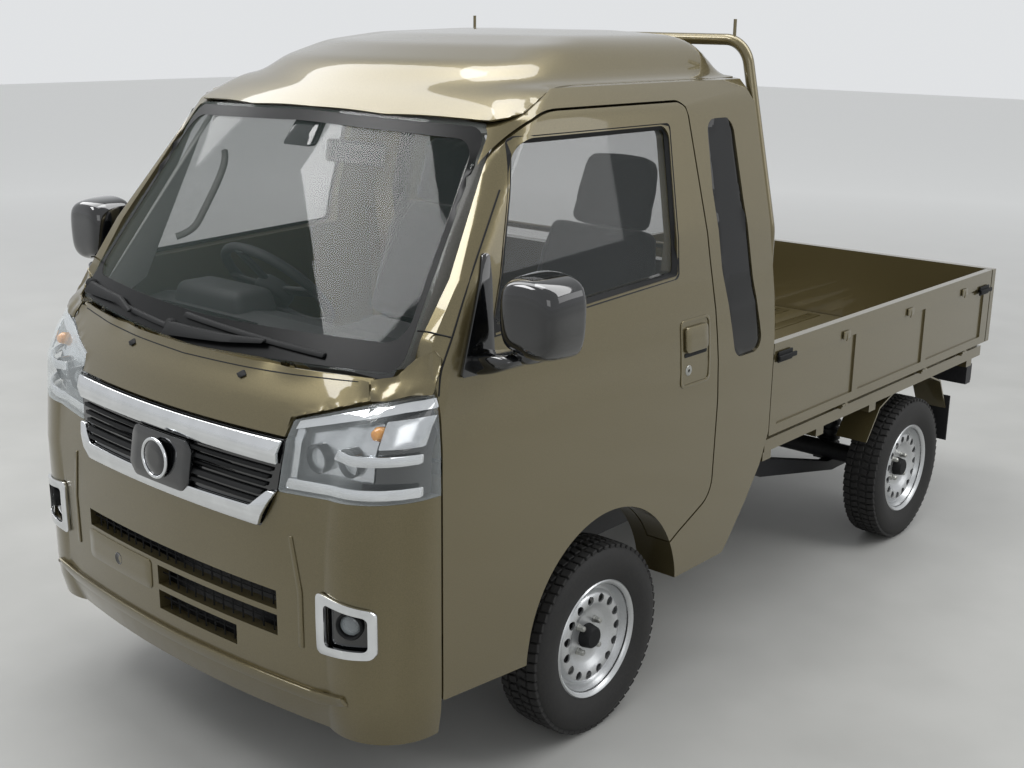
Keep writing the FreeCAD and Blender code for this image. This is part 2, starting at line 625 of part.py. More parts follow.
house_width = f"{inner_half} - wheelhouse_x + floor_wall"
houses = [block("house_top", ("wheelhouse_x - floor_wall", "-wheelhouse_half - floor_wall",
                              "wheelhouse_height"),
                (house_width, "wheelhouse_half + floor_wall + seat_base_front", "floor_wall")),
          block("house_front", ("wheelhouse_x - floor_wall", "-wheelhouse_half - floor_wall",
                                "floor_height - floor_wall"),
                (house_width, "floor_wall", "wheelhouse_height - floor_height + 2 * floor_wall")),
          block("house_side", ("wheelhouse_x - floor_wall", "-wheelhouse_half - floor_wall",
                               "floor_height - floor_wall"),
                ("floor_wall", "wheelhouse_half + floor_wall + seat_base_front",
                 "wheelhouse_height - floor_height + 2 * floor_wall"))]
house_left = fused("wheelhouse_left", houses)
keep(fused("cab_floor", [floor, house_left, mirrored("wheelhouse_right", house_left)]), "cab_floor")

firewall = body("cowl_panel")
pad(firewall, "cowl_box", "YZ", -560, 1120, [
    (-668, 880), (-640, 880), (-640, 1030), (-600, 1030), (-600, 1056), (-668, 1056)])
pad(firewall, "bulkhead", "YZ", -628, 1256, [
    ("-bumper_back - 12", 410), ("-bumper_back", 410), ("-bumper_back", 1032),
    ("-bumper_back - 12", 1032)])
hood_arm = body("hood_arm")
pad(hood_arm, "arm_blade", "YZ", "hood_hinge_x + 11", 12, [
    ("hood_axis_y - 6", "hood_axis_height - 5"), ("hood_axis_y + 5", "hood_axis_height - 9"),
    (-652, 1050), (-630, 1050), (-630, 1066), ("hood_axis_y + 9", "hood_axis_height + 3"),
    ("hood_axis_y + 3", "hood_axis_height + 7"), ("hood_axis_y - 6", "hood_axis_height + 6")])
hood_pin = rod("hood_pin", ("hood_hinge_x - 13", "hood_axis_y", "hood_axis_height"), "hood_pin_radius",
               30, "x")
hood_hinge = fused("hood_hinge", [hood_arm, hood_pin])
keep(fused("cowl_form", [firewall, hood_hinge, mirrored("hood_hinge_right", hood_hinge)]), "cowl")

dash = body("dash_panel")
pad(dash, "dash_roll", "YZ", -580, 1160, [
    ("seam - 600", 1000), ("seam - 600", 1080), (-420, 1106), (-335, 1092), (-300, 1040), (-330, 870),
    (-420, 800),
    (-480, 800), (-500, 1000)])
column = doc.addObject("Part::Cylinder", "steering_column")
column.Placement = Placement(Vector(), Rotation(Vector(1, 0, 0), -46))
bind(column, "Radius", 28)
bind(column, "Height", 160)
place(column, "-steering_x", -366.3, 965.1)
keep(fused("dashboard", [dash, column]), "dashboard")

seat = body("seat_form")
pad(seat, "cushion_and_back", "YZ", "seat_x - seat_width / 2", "seat_width", [
    (-90, "seat_base_height + seam"), (-108, 885), (-70, 930), (240, 900), (330, 915), (448, 1300),
    (480, 1335), (540, 1330), (555, 1290), (424, 880), (400, "seat_base_height + seam")])
pad(seat, "headrest", "YZ", "seat_x - 125", 250, [
    (470, 1325), (488, 1420), (545, 1505), (600, 1515), (618, 1480), (560, 1340)])
keep(pair("seats_pair", seat), "seats")

grip = doc.addObject("Part::Torus", "steering_grip")
grip.Placement = Placement(Vector(), Rotation(Vector(1, 0, 0), -46))
bind(grip, "Radius1", "steering_ring_radius")
bind(grip, "Radius2", "steering_grip_radius")
place(grip, "-steering_x", -205, 1121)
hub = doc.addObject("Part::Cylinder", "steering_hub")
hub.Placement = Placement(Vector(), Rotation(Vector(1, 0, 0), -46))
bind(hub, "Radius", 48)
bind(hub, "Height", 50)
place(hub, "-steering_x", -251, 1077)
spokes = doc.addObject("Part::Box", "steering_spokes")
spokes.Placement = Placement(Vector(), Rotation(Vector(1, 0, 0), -46))
bind(spokes, "Length", "2 * steering_ring_radius")
bind(spokes, "Width", 34)
bind(spokes, "Height", 16)
place(spokes, "-steering_x - steering_ring_radius", -235.5, 1115.1)
keep(fused("steering_wheel", [grip, hub, spokes]), "steering_wheel")

# ---------------------------------------------------------------- chassis and what it carries

rail = body("frame_rail")
pad(rail, "rail_web", "YZ", "rail_x", "rail_width", [
    ("rail_front", "rail_low"), ("wheelbase - 920", "rail_low"),
    ("wheelbase - 650", "rail_high - rail_drop"), ("rail_back", "rail_high - rail_drop"),
    ("rail_back", "rail_high"), ("wheelbase - 700", "rail_high"),
    ("wheelbase - 950", "rail_low + rail_drop"), ("rail_front", "rail_low + rail_drop")])
CROSSMEMBERS = [   # one crossmember a row: y, low z, height
    (-600, 340, 80), (-200, 345, 60), ("wheelbase - 1020", 405, 25), ("wheelbase - 570", 480, 70),
    ("wheelbase - 200", 480, 70), ("rail_back - 60", 470, 80),
]
mount_top = "floor_height - floor_wall - rail_low - rail_drop + 1 - seam"
pedestal_top = "seat_base_height - floor_wall - rail_low - rail_drop + 1 - seam"
CAB_MOUNTS = [("front", -570, mount_top), ("middle", -230, mount_top), ("rear", 405, pedestal_top)]
mounts = [block(f"cab_mount_{name}", ("rail_x + 1", y, "rail_low + rail_drop - 1"), (48, 56, height))
          for name, y, height in CAB_MOUNTS]
members = [block(f"crossmember_{i}", ("-rail_x - 1", y, z), ("2 * rail_x + 2", 60, height))
           for i, (y, z, height) in enumerate(CROSSMEMBERS)]
side_rails = fused("frame_side", [rail] + mounts)
keep(fused("chassis_frame_form", [side_rails, mirrored("frame_side_right", side_rails)] + members),
     "chassis_frame")

engine = body("engine_form")
pad(engine, "crankcase", "YZ", -190, 380, [
    (180, 290), (640, 270), (780, 330), (780, 430), (600, 520), (420, 640), (180, 600)])
engine_mounts = [block(f"engine_mount_{i}", ("seam - rail_x", y, 345), ("2 * (rail_x - seam)", 44, 40))
                 for i, y in enumerate((230, 560))]
keep(fused("engine_whole", [engine] + engine_mounts), "engine")

tank = body("tank_form")
pad(tank, "tank_shell", "XZ", 1010, 300, [
    (-640, 330), (-600, 290), (-470, 290), (-430, 330), (-430, "rail_high"), (-640, "rail_high")])
keep(tank, "fuel_tank")

muffler = rod("muffler", (-230, "wheelbase + 315", 370), 78, 430, "x")
pipe = rod("exhaust_pipe", (150, "780 + seam", 375), 21, "wheelbase - 530", "y")
tail = rod("tail_pipe", (200, "wheelbase + 315", 370), 18, "bed_back - 329 - wheelbase", "y")
keep(fused("exhaust", [muffler, pipe, tail]), "exhaust")

tube = rod("axle_tube", ("-rear_track / 2 + 78", "wheelbase", "tyre_radius"), "axle_tube_radius",
           "rear_track - 156", "x")
diff = rod("differential", (-45, "wheelbase", "tyre_radius"), 92, 90, "x")
banjo = rod("banjo_housing", (-85, "wheelbase", "tyre_radius"), 66, 170, "x")
plates = []
for name, x in (("left", "rear_track / 2 - 82"), ("right", "-rear_track / 2 + 72")):
    plates.append(rod(f"backing_plate_{name}", (x, "wheelbase", "tyre_radius"), 108, 10, "x"))
spindles = rod("rear_spindle", ("-rear_track / 2 - 20", "wheelbase", "tyre_radius"), "spindle_radius",
               "rear_track + 40", "x")
shaft = rod("propshaft", (0, "780 + seam", 300), 30, "wheelbase - 850", "y")
keep(fused("rear_axle", [tube, diff, banjo, spindles, shaft] + plates), "rear_axle")

arm = body("trailing_arm")
pad(arm, "arm_web", "YZ", "rail_x + rail_width + 20", 40, [
    ("wheelbase - 610", 330), ("wheelbase - 555", 305), ("wheelbase", 190), ("wheelbase + 135", 190),
    ("wheelbase + 135", 234), ("wheelbase - 40", 234), ("wheelbase - 555", 375),
    ("wheelbase - 555", 440), ("wheelbase - 610", 440)])
arm_hanger = block("arm_hanger", ("rail_x + rail_width + seam", "wheelbase - 610", 400), (40, 55, 70))
spring_pad = block("spring_pad", ("rail_x", "wheelbase + 48", 208), (110, 87, 26))
arm = fused("trailing_link", [arm, arm_hanger, spring_pad])
spring_x = "rail_x + rail_width - 12"
spring_tube = rod("rear_damper", (spring_x, "wheelbase + 92", 233), 32,
                  "rail_high - rail_drop - 233 - seam", "z")
coils = [rod(f"rear_coil_{i}", (spring_x, "wheelbase + 92", 256 + 30 * i), 45, 14, "z")
         for i in range(6)]
rear_left = fused("rear_links_left", [arm, spring_tube] + coils)
keep(pair("rear_links", rear_left), "rear_suspension")

# ---------------------------------------------------------------- front suspension and knuckles

LEAN = math.degrees(math.atan2(size.ball_joint_x - size.strut_top_x,
                               size.strut_top_height - size.ball_joint_height))


def on_steering_axis(name, start, length, radius):
    """A cylinder about the leaning steering axis, from a distance along it."""
    item = doc.addObject("Part::Cylinder", name)
    item.Placement = Placement(Vector(), Rotation(Vector(0, 1, 0), -LEAN))
    bind(item, "Radius", radius)
    bind(item, "Height", length)
    across = math.sin(math.radians(LEAN))
    up = math.cos(math.radians(LEAN))
    place(item, f"ball_joint_x - ({start}) * {across:.6f}", 0, f"ball_joint_height + ({start}) * {up:.6f}")
    return item


front_arm = body("front_arm")
pad(front_arm, "arm_blade", "XZ", -20, 40, [
    (356, 222), (585, 146), (612, 146), (612, 158), (588, 164), (356, 256)])
arm_bracket = block("arm_bracket", ("rail_x + 6", -30, 215), (66, 60, "rail_low - 215 - seam"))
strut_mount = on_steering_axis("strut_mount", 560.3, 20, 52)
tower = block("strut_tower", ("strut_top_x - 45", -50, 736),
              (100, 100, "seat_base_height - floor_wall - 736 - seam"))
rack_bracket = block("rack_bracket", ("rail_x + 5", 78, 222), (30, 34, "rail_low - 222 - seam"))
rack_arm = rod("tie_rod", (330, 95, 235), 8, 165, "x")
rack = rod("steering_rack", ("-rail_x - 10", 95, 235), 24, "2 * rail_x + 20", "x")
front_left = together("front_links_left", [fused("lower_arm", [front_arm, arm_bracket]),
                                           fused("strut_head", [strut_mount, tower])])
rack_side = fused("rack_side", [rack_bracket, rack_arm])
rack_whole = fused("rack_whole", [rack, rack_side, mirrored("rack_side_right", rack_side)])
keep(together("front_links", [front_left, mirrored("front_links_right", front_left), rack_whole]),
     "front_suspension")

strut = on_steering_axis("strut_tube", 60, 500, "strut_radius")
spring_seat = on_steering_axis("spring_seat", 395, 10, 52)
spring_rings = [on_steering_axis(f"spring_ring_{i}", 417 + 28 * i, 13, 43) for i in range(5)]
carrier = block("hub_carrier", ("ball_joint_x - 38", -34, 196), (46, 68, 150))
lower_lug = on_steering_axis("lower_lug", 1, 97, 17)
spindle = rod("front_spindle", ("ball_joint_x - 20", 0, "tyre_radius"), "spindle_radius",
              "front_track / 2 - ball_joint_x + 40", "x")
shield = rod("brake_shield", ("ball_joint_x + 8", 0, "tyre_radius"), 106, 5, "x")
steering_arm = block("steering_arm", ("ball_joint_x - 38", 30, 226), (20, 80, 18))
dust_boot = on_steering_axis("dust_boot", 400, 150, 31)
knuckle = fused("knuckle_left_form", [dust_boot, strut, spring_seat, carrier, lower_lug, spindle, shield,
                                      steering_arm] + spring_rings)
keep(knuckle, "knuckle_left")
keep(mirrored("knuckle_right_form", knuckle), "knuckle_right")

# ---------------------------------------------------------------- wheels


def wheel(name, x, y):
    """One tyre on its steel disc wheel, each a body of its own."""
    tyre = body(f"{name}_tyre_form")
    tread = "tread_width / 2"
    wide = "tyre_width / 2"
    turned(tyre, f"{name}_carcass", [
        ("rim_half_width - 8 - seam", "bead_radius"), ("rim_half_width - 8 - seam", "rim_flange_radius + 1"),
        (f"{wide} - 6", "rim_flange_radius + 12"), (wide, "tyre_radius - 48"),
        (f"{wide} - 3", "tyre_radius - 22"), (tread, "tyre_radius - 4"), (f"{tread} - 14", "tyre_radius"),
        (f"14 - {tread}", "tyre_radius"), (f"-{tread}", "tyre_radius - 4"),
        (f"3 - {wide}", "tyre_radius - 22"), (f"-{wide}", "tyre_radius - 48"),
        (f"6 - {wide}", "rim_flange_radius + 12"), ("8 + seam - rim_half_width", "rim_flange_radius + 1"),
        ("8 + seam - rim_half_width", "bead_radius")])
    rim = body(f"{name}_rim_form")
    edge = "rim_half_width"
    seat = "bead_radius - seam"
    turned(rim, f"{name}_barrel", [
        (edge, "rim_flange_radius"), (f"{edge} - 8", "rim_flange_radius"), (f"{edge} - 8", seat),
        (20, seat), (10, "rim_well_radius"), (-18, "rim_well_radius"), (-28, seat),
        (f"8 - {edge}", seat), (f"8 - {edge}", "rim_flange_radius"), (f"-{edge}", "rim_flange_radius"),
        (f"-{edge}", "rim_flange_radius - rim_wall"), (f"3 - {edge}", "rim_flange_radius - rim_wall"),
        (f"5 - {edge}", "bead_radius - 1"), (f"12 - {edge}", "bead_radius - rim_wall"),
        (-30, "bead_radius - rim_wall"), (-20, "rim_well_radius - rim_wall"),
        (8, "rim_well_radius - rim_wall"), (14, "rim_well_radius - rim_wall"),
        ("disc_offset - 6", 128), ("disc_offset - 4", 92), ("disc_offset - 22", 76),
        ("disc_offset - 24", "hub_radius - 2"), ("disc_offset - 24", 42), (-20, 42),
        (-20, "spindle_radius + spindle_fit"), (34, "spindle_radius + spindle_fit"),
        (34, 34), ("disc_offset - 18", 36), ("disc_offset - 18", 74), ("disc_offset", 90),
        ("disc_offset - 1", 127), (22, "bead_radius - rim_wall"), (f"{edge} - 12", "bead_radius - rim_wall"),
        (f"{edge} - 5", "bead_radius - 1"), (f"{edge} - 3", "rim_flange_radius - rim_wall"),
        (edge, "rim_flange_radius - rim_wall")])
    doc.recompute()
    vent = pocket(rim, f"{name}_vent", "YZ", 20, 40, disc=(("vent_ring_radius", 0), "vent_radius"))
    ring_of_vents = rim.newObject("PartDesign::PolarPattern", f"{name}_vents")
    ring_of_vents.Originals = [vent]
    ring_of_vents.Axis = (vent.Profile[0], ["N_Axis"])
    bind(ring_of_vents, "Occurrences", "vent_count")
    ring_of_vents.Angle = 360
    rim.Tip = ring_of_vents
    for item in (tyre, rim):
        place(item, x, y, "tyre_radius")
    return tyre, rim


for axle, track, y in (("front", "front_track / 2", 0), ("rear", "rear_track / 2", "wheelbase")):
    tyre, rim = wheel(f"{axle}_left", track, y)
    keep(tyre, f"tyre_{axle}_left")
    keep(rim, f"rim_{axle}_left")
    keep(mirrored(f"{axle}_right_tyre", tyre), f"tyre_{axle}_right")
    keep(mirrored(f"{axle}_right_rim", rim), f"rim_{axle}_right")

# ---------------------------------------------------------------- bed, gates and guard frame

floor_top = "bed_height - bed_floor_wall"
bed = body("bed_floor_form")
pad(bed, "deck", "XY", floor_top, "bed_floor_wall", [
    ("-bed_half_width", "bed_front"), ("-600", "bed_front"), ("-600", "lower_back + 2"),
    ("600", "lower_back + 2"), ("600", "bed_front"), ("bed_half_width", "bed_front"),
    ("bed_half_width", "bed_back"), ("-bed_half_width", "bed_back")])
for name, x in (("left", "guard_x"), ("right", "-guard_x")):     # the guard's posts pass the deck
    pocket(bed, f"post_hole_{name}", "XY", floor_top, "bed_floor_wall",
           disc=((x, "guard_y"), "guard_tube_radius + seam"))
keep(bed, "bed_floor")

JOISTS = [(610, 560), (840, 701), (1180, 701), ("wheelbase - 340", 701), ("wheelbase + 120", 578),
          (2400, 701)]   # y, half length
joists = [block(f"joist_{i}", (-half, y, "rail_high + seam"),
                (2 * half, 50, "bed_height - bed_floor_wall - rail_high - 2 * seam"))
          for i, (y, half) in enumerate(JOISTS)]
side_rail = block("bed_side_rail", ("bed_half_width - 40", "bed_front + 2", 600),
                  (55, "bed_back - bed_front", 39.7))
GATE_HINGES = [1304, 1921, 2282]     # where along the bed each side gate's hinges stand
TAIL_HINGES = [-560, 0, 560]
hinge_leaves = []
for i, y in enumerate(GATE_HINGES):
    hinge_leaves += [
        block(f"gate_leaf_{i}", ("bed_half_width + 7", y - 20, 639),
              ("gate_axis_x - bed_half_width - 7", 19, 11)),
        rod(f"gate_leaf_eye_{i}", ("gate_axis_x", y - 20, "gate_axis_height"), 4.2, 19, "y"),
        rod(f"gate_pin_{i}", ("gate_axis_x", y - 20, "gate_axis_height"), 2.5, 40, "y")]
gate_leaves = fused("gate_leaves", [side_rail] + hinge_leaves)
tail_sill = block("tail_sill", ("4 - bed_half_width", "bed_back - 29", 600),
                  ("2 * bed_half_width - 8", 33, 39.7))
tail_leaves = [tail_sill]
for i, x in enumerate(TAIL_HINGES):
    tail_leaves += [
        block(f"tail_leaf_{i}", (x - 20, "bed_back", 633), (19, "tail_axis_y - bed_back - 4", 16)),
        rod(f"tail_leaf_eye_{i}", (x - 20, "tail_axis_y", "gate_axis_height"), 4.2, 19, "x"),
        rod(f"tail_pin_{i}", (x - 20, "tail_axis_y", "gate_axis_height"), 2.5, 40, "x")]
bed_pieces = joists + [gate_leaves, mirrored("gate_leaves_right", gate_leaves)] + tail_leaves
keep(fused("bed_frame", bed_pieces), "bed_frame")

gate = body("gate_form")
gate_inner = "bed_half_width + 2"
gate_length = "bed_back - bed_front"
gate_top = "bed_height + gate_height"
pad(gate, "gate_board", "YZ", gate_inner, "gate_wall", [
    ("bed_front", "gate_foot"), ("bed_back", "gate_foot"), ("bed_back", gate_top),
    ("bed_front", gate_top)])
doc.recompute()
for i in range(3):
    start = f"bed_front + 40 + {i} * ({gate_length} - 60) / 3"
    stop = f"{start} + ({gate_length} - 60) / 3 - 40"
    pocket(gate, f"pressing_{i}", "YZ", f"{gate_inner} + gate_wall - 6", 10, [
        (start, "gate_foot + 30"), (stop, "gate_foot + 30"), (stop, f"{gate_top} - 62"),
        (start, f"{gate_top} - 62")])
gate_eyes = []
for i, y in enumerate(GATE_HINGES):
    web = block(f"gate_web_{i}", ("gate_axis_x - 9", y + 0.5, "gate_axis_height"), (9, 19, 8))
    eye = rod(f"gate_eye_{i}", ("gate_axis_x", y + 0.5, "gate_axis_height"), 4.2, 19, "y")
    bore = rod(f"gate_bore_{i}", ("gate_axis_x", y, "gate_axis_height"), 2.55, 21, "y")
    gate_eyes.append(cut_from(f"gate_knuckle_{i}", fused(f"gate_loop_{i}", [web, eye]), bore))
gate_left = fused("gate_left_form", [gate] + gate_eyes)
keep(gate_left, "gate_left")
keep(mirrored("gate_right_form", gate_left), "gate_right")

tailgate = body("tailgate_form")
pad(tailgate, "tail_board", "XZ", "bed_back + 6", "tailgate_wall", [
    ("-overall_width / 2 + 4", "gate_foot"), ("overall_width / 2 - 4", "gate_foot"),
    ("overall_width / 2 - 4", gate_top), ("-overall_width / 2 + 4", gate_top)])
doc.recompute()
pocket(tailgate, "tail_pressing", "XZ", "bed_back + tailgate_wall", 10, [
    (-640, "gate_foot + 30"), (640, "gate_foot + 30"), (640, f"{gate_top} - 62"),
    (-640, f"{gate_top} - 62")])
for name, x in (("left", 520), ("right", -580)):
    pad(tailgate, f"tail_hook_{name}", "XZ", "bed_back + tailgate_wall - 2",
        "overall_length - front_overhang - bed_back - tailgate_wall + 2", [
        (x, 840), (x + 60, 840), (x + 60, 880), (x, 880)])
tail_eyes = []
for i, x in enumerate(TAIL_HINGES):
    web = block(f"tail_web_{i}", (x + 0.5, "tail_axis_y - 9", "gate_axis_height"), (19, 9, 8))
    eye = rod(f"tail_eye_{i}", (x + 0.5, "tail_axis_y", "gate_axis_height"), 4.2, 19, "x")
    bore = rod(f"tail_bore_{i}", (x, "tail_axis_y", "gate_axis_height"), 2.55, 21, "x")
    tail_eyes.append(cut_from(f"tail_knuckle_{i}", fused(f"tail_loop_{i}", [web, eye]), bore))
keep(fused("tailgate_whole", [tailgate] + tail_eyes), "tailgate")

guard_x = size.guard_x
post_foot = size.bed_height - size.bed_floor_wall
GUARD = [(guard_x, post_foot, 0), (guard_x, 1285, 160), (557, size.guard_height, 84)]
rail_points = GUARD + [(-x, z, radius) for x, z, radius in reversed(GUARD)]
guard_edges = rounded_face(rail_points, lambda a, b: Vector(a, size.guard_y, b)).OuterWire.OrderedEdges
guard_wire = Part.Wire(guard_edges[:-1])
start_disc = Part.Wire(Part.makeCircle(size.guard_tube_radius, Vector(guard_x, size.guard_y, post_foot),
                                       Vector(0, 0, 1)))
guard = guard_wire.makePipeShell([start_disc], True, False)
for level in (1010, 1190):
    guard = guard.fuse(Part.makeCylinder(11, 2 * guard_x, Vector(-guard_x, size.guard_y, level),
                                         Vector(1, 0, 0)))
for side in (-1, 1):
    guard = guard.fuse(Part.makeCylinder(5, size.hook_height - size.guard_height + 2,
                                         Vector(side * 518, size.guard_y, size.guard_height - 2)))
keep(made("guard_frame", guard), "guard_frame")

LINER = [   # the liner's side view: y behind the rear axle, and drop below the bed's deck
    (-344, 210), (-338, 210), (-254, 104), (-138, 66), (140, 66), (254, 108), (328, 230), (334, 227),
    (258, 103), (142, 60.3), (-140, 60.3), (-258, 99)]
liner = body("arch_liner")
pad(liner, "liner_strip", "YZ", 585, 118,
    [(f"wheelbase + {y}", f"bed_height - {drop}") for y, drop in LINER])
keep(pair("rear_arches_pair", liner), "rear_arches")

flap = block("mudflap", (590, "wheelbase + 334 + seam", 300), (125, 6, 180))
keep(pair("mudflaps_pair", flap), "mudflaps")

bar = block("rear_bar_form", (-690, "rail_back + seam", 480), (1380, 45.7, "rail_high - 480"))
keep(bar, "rear_bar")
lamp_block = block("tail_lamp", (545, 2486.3, 486), (140, 16, 66))
keep(pair("tail_lamps_pair", lamp_block), "tail_lamps")

# ---------------------------------------------------------------- checks and files

doc.recompute()
for item in doc.Objects:
    if "Invalid" in item.State or "Error" in item.State:
        raise RuntimeError(f"{item.Name} did not build: {item.State}")
whole = FreeCAD.BoundBox()
for label, item in NODES.items():
    shape = item.Shape
    if shape.isNull() or not shape.isValid() or not shape.Solids:
        raise RuntimeError(f"{label} has no valid solid")
    whole.add(shape.BoundBox)
    print(f"{label:18} solids {len(shape.Solids)}  volume {shape.Volume / 1e6:8.3f} dm3")
print("bounds", whole)

os.makedirs("parts", exist_ok=True)
for label, item in NODES.items():
    item.Shape.exportStep(f"parts/{label}.step")
print(len(NODES), "sub-parts written")
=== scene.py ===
# %% [markdown]
# A small cab-over flatbed truck. Its solids come from a fixed frame and get the finish of the real
# panel, tyre or pane; finer forms are modelled. Blender works in metres; outlines and profiles are
# written in millimetres, as on a workshop drawing.

# %% Start
import json
import math
import bpy
import numpy as np
from mathutils import Matrix, Vector

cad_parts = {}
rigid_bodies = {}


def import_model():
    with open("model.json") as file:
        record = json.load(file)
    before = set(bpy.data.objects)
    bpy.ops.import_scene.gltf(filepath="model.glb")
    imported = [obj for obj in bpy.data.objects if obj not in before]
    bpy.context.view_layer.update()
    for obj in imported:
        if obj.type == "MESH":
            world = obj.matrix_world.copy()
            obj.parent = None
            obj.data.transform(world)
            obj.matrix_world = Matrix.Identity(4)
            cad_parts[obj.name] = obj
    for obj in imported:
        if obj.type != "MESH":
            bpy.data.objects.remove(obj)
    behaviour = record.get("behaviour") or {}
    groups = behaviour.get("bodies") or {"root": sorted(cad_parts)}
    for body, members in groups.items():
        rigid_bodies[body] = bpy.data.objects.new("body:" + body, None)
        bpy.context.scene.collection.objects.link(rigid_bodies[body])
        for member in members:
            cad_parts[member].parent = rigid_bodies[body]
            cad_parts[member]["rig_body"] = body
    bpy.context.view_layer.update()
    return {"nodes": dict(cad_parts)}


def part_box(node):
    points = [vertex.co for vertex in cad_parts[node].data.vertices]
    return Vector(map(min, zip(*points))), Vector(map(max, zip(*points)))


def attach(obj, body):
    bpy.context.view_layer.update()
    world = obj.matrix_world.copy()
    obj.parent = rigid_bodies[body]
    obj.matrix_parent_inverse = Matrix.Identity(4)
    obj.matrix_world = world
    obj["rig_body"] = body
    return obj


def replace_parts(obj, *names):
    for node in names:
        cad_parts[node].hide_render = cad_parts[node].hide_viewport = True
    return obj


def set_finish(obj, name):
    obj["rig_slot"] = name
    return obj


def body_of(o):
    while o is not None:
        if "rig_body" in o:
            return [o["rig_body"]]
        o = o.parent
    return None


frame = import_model()
NODES = frame["nodes"]
MM = 0.001
tyre_low, tyre_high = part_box("tyre_front_left")
AXLE = (tyre_low + tyre_high) / 2
rear_low, rear_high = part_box("tyre_rear_left")
REAR_AXLE = (rear_low + rear_high) / 2
WHEEL_RADIUS = (tyre_high.z - tyre_low.z) / 2


def spot(x, y, z):
    """A place in metres from millimetres, measured across, back from the front axle, and up."""
    return Vector((x * MM, y * MM + AXLE.y, z * MM))


# %% [markdown]
# The camera stands at the truck's front left corner, a little above a person's eye, and looks down
# by some sixteen degrees. Its axes are written as directions, which gives a hand-held tilt exactly.

# %% Camera
LENS_MM = 46.22
STAND = (2.648, -3.4425, 1.891)
LOOK = Vector((-0.63041, 0.72751, -0.27075))
RIGHT = Vector((0.75355, 0.65728, 0.01157)).normalized()
lens = bpy.data.cameras.new("camera")
lens.lens = LENS_MM
lens.clip_start = 0.05
camera = bpy.data.objects.new("camera", lens)
bpy.context.scene.collection.objects.link(camera)
camera_axes = Matrix((RIGHT, RIGHT.cross(LOOK).normalized(), -LOOK)).transposed()
camera.matrix_world = Matrix.Translation(STAND) @ camera_axes.to_4x4()
bpy.context.scene.camera = camera
bpy.context.scene.view_settings.view_transform = "Standard"


# %% [markdown]
# Two helpers start every finish. One turns a paint card's hex colour into the linear light that the
# renderer adds up. The other adds a node with its settings and its wires.

# %% Colour and node helpers
def linear(code):
    """Linear red, green, blue and alpha from an sRGB hex colour."""
    parts = [int(code[i:i + 2], 16) / 255 for i in (1, 3, 5)]
    return [c / 12.92 if c <= 0.04045 else ((c + 0.055) / 1.055) ** 2.4 for c in parts] + [1.0]


def add(tree, kind, settings=(), **wires):
    """Adds one shader node, sets its values, and joins other nodes' outputs to its inputs."""
    made = tree.nodes.new("ShaderNode" + kind)
    for name, value in dict(settings).items():
        if name in made.inputs:
            made.inputs[name].default_value = value
        else:
            setattr(made, name, value)
    for name, output in wires.items():
        tree.links.new(output, made.inputs[name])
    return made


# %% [markdown]
# Most finishes share one plan: a noise as coarse as the real grain moves the colour between two
# near shades and lifts the surface a little. The grain's size in millimetres sets the scale.

# %% Surface helper
def surface(name, shade, tint, grain, lift=0.0, roughness=0.5, spread=0.0, detail=3.0, **shader):
    """A material whose colour, gloss and relief vary with a grain of that size in millimetres."""
    material = bpy.data.materials.new(name)
    material.use_nodes = True
    tree = material.node_tree
    principled = tree.nodes["Principled BSDF"]
    place = add(tree, "TexCoord").outputs["Object"]
    noise = add(tree, "TexNoise", {"Scale": 1 / (grain * MM), "Detail": detail}, Vector=place)
    noise = noise.outputs["Fac"]
    ramp = add(tree, "ValToRGB", Fac=noise)
    for element, position, code in zip(ramp.color_ramp.elements, (0.35, 0.65), (shade, tint)):
        element.position = position
        element.color = linear(code)
    tree.links.new(ramp.outputs["Color"], principled.inputs["Base Color"])
    if spread:
        gloss = add(tree, "MapRange",
                    {"To Min": roughness - spread, "To Max": roughness + spread}, Value=noise)
        tree.links.new(gloss.outputs["Result"], principled.inputs["Roughness"])
    principled.inputs["Roughness"].default_value = roughness
    if lift:
        relief = add(tree, "Bump", {"Distance": lift * MM, "Strength": 0.6}, Height=noise)
        tree.links.new(relief.outputs["Normal"], principled.inputs["Normal"])
    for socket, value in shader.items():
        principled.inputs[socket.replace("_", " ")].default_value = value
    return material


# %% [markdown]
# The body has a metallic bronze-olive base coat under a clear lacquer. Flakes make it bright where
# it faces the light and dark where it turns away, and the lacquer adds a sharp, faint reflection.
# Real flakes are hundredths of a millimetre, so they are drawn coarser.

# %% Painted metal
lacquered_paint = surface("metallic_lacquer_paint", "#665d40", "#6f6546", 2.5, 0.02, 0.3, 0.02,
                          Metallic=0.7, Coat_Weight=1.0, Coat_Roughness=0.03)
inner_paint = surface("inner_panel_paint", "#6f6440", "#786c47", 3, 0.05, 0.45, 0.04, Metallic=0.4,
                      Coat_Weight=0.3)
chassis_paint = surface("chassis_black_enamel", "#17171a", "#222326", 14, 0.3, 0.5, 0.1)
engine_casting = surface("sand_cast_aluminium", "#6a6b6b", "#8a8b8a", 5, 0.8, 0.55, 0.1,
                         Metallic=0.85)
exhaust_pipe = surface("aluminised_steel_pipe", "#77736c", "#93908a", 30, 0.3, 0.42, 0.1,
                       Metallic=0.9)
wheel_paint = surface("silver_wheel_paint", "#b9bbbc", "#c6c8c9", 2, 0.02, 0.33, 0.04,
                      Metallic=0.75, Coat_Weight=0.5, Coat_Roughness=0.1)
chrome_plate = surface("bright_chrome_plating", "#dfe1e3", "#e8eaec", 60, 0.0, 0.07, 0.02,
                       Metallic=1.0)
satin_chrome = surface("satin_reflector_aluminium", "#c4c7ca", "#d6d9db", 40, 0.0, 0.2, 0.04,
                       Metallic=1.0)
zinc_plate = surface("zinc_plated_steel", "#9a9b98", "#b4b4ae", 8, 0.2, 0.4, 0.08, Metallic=0.9)
mirror_silver = surface("silvered_mirror_glass", "#c8ccd0", "#d4d8dc", 200, 0.0, 0.03, 0.01,
                        Metallic=1.0)

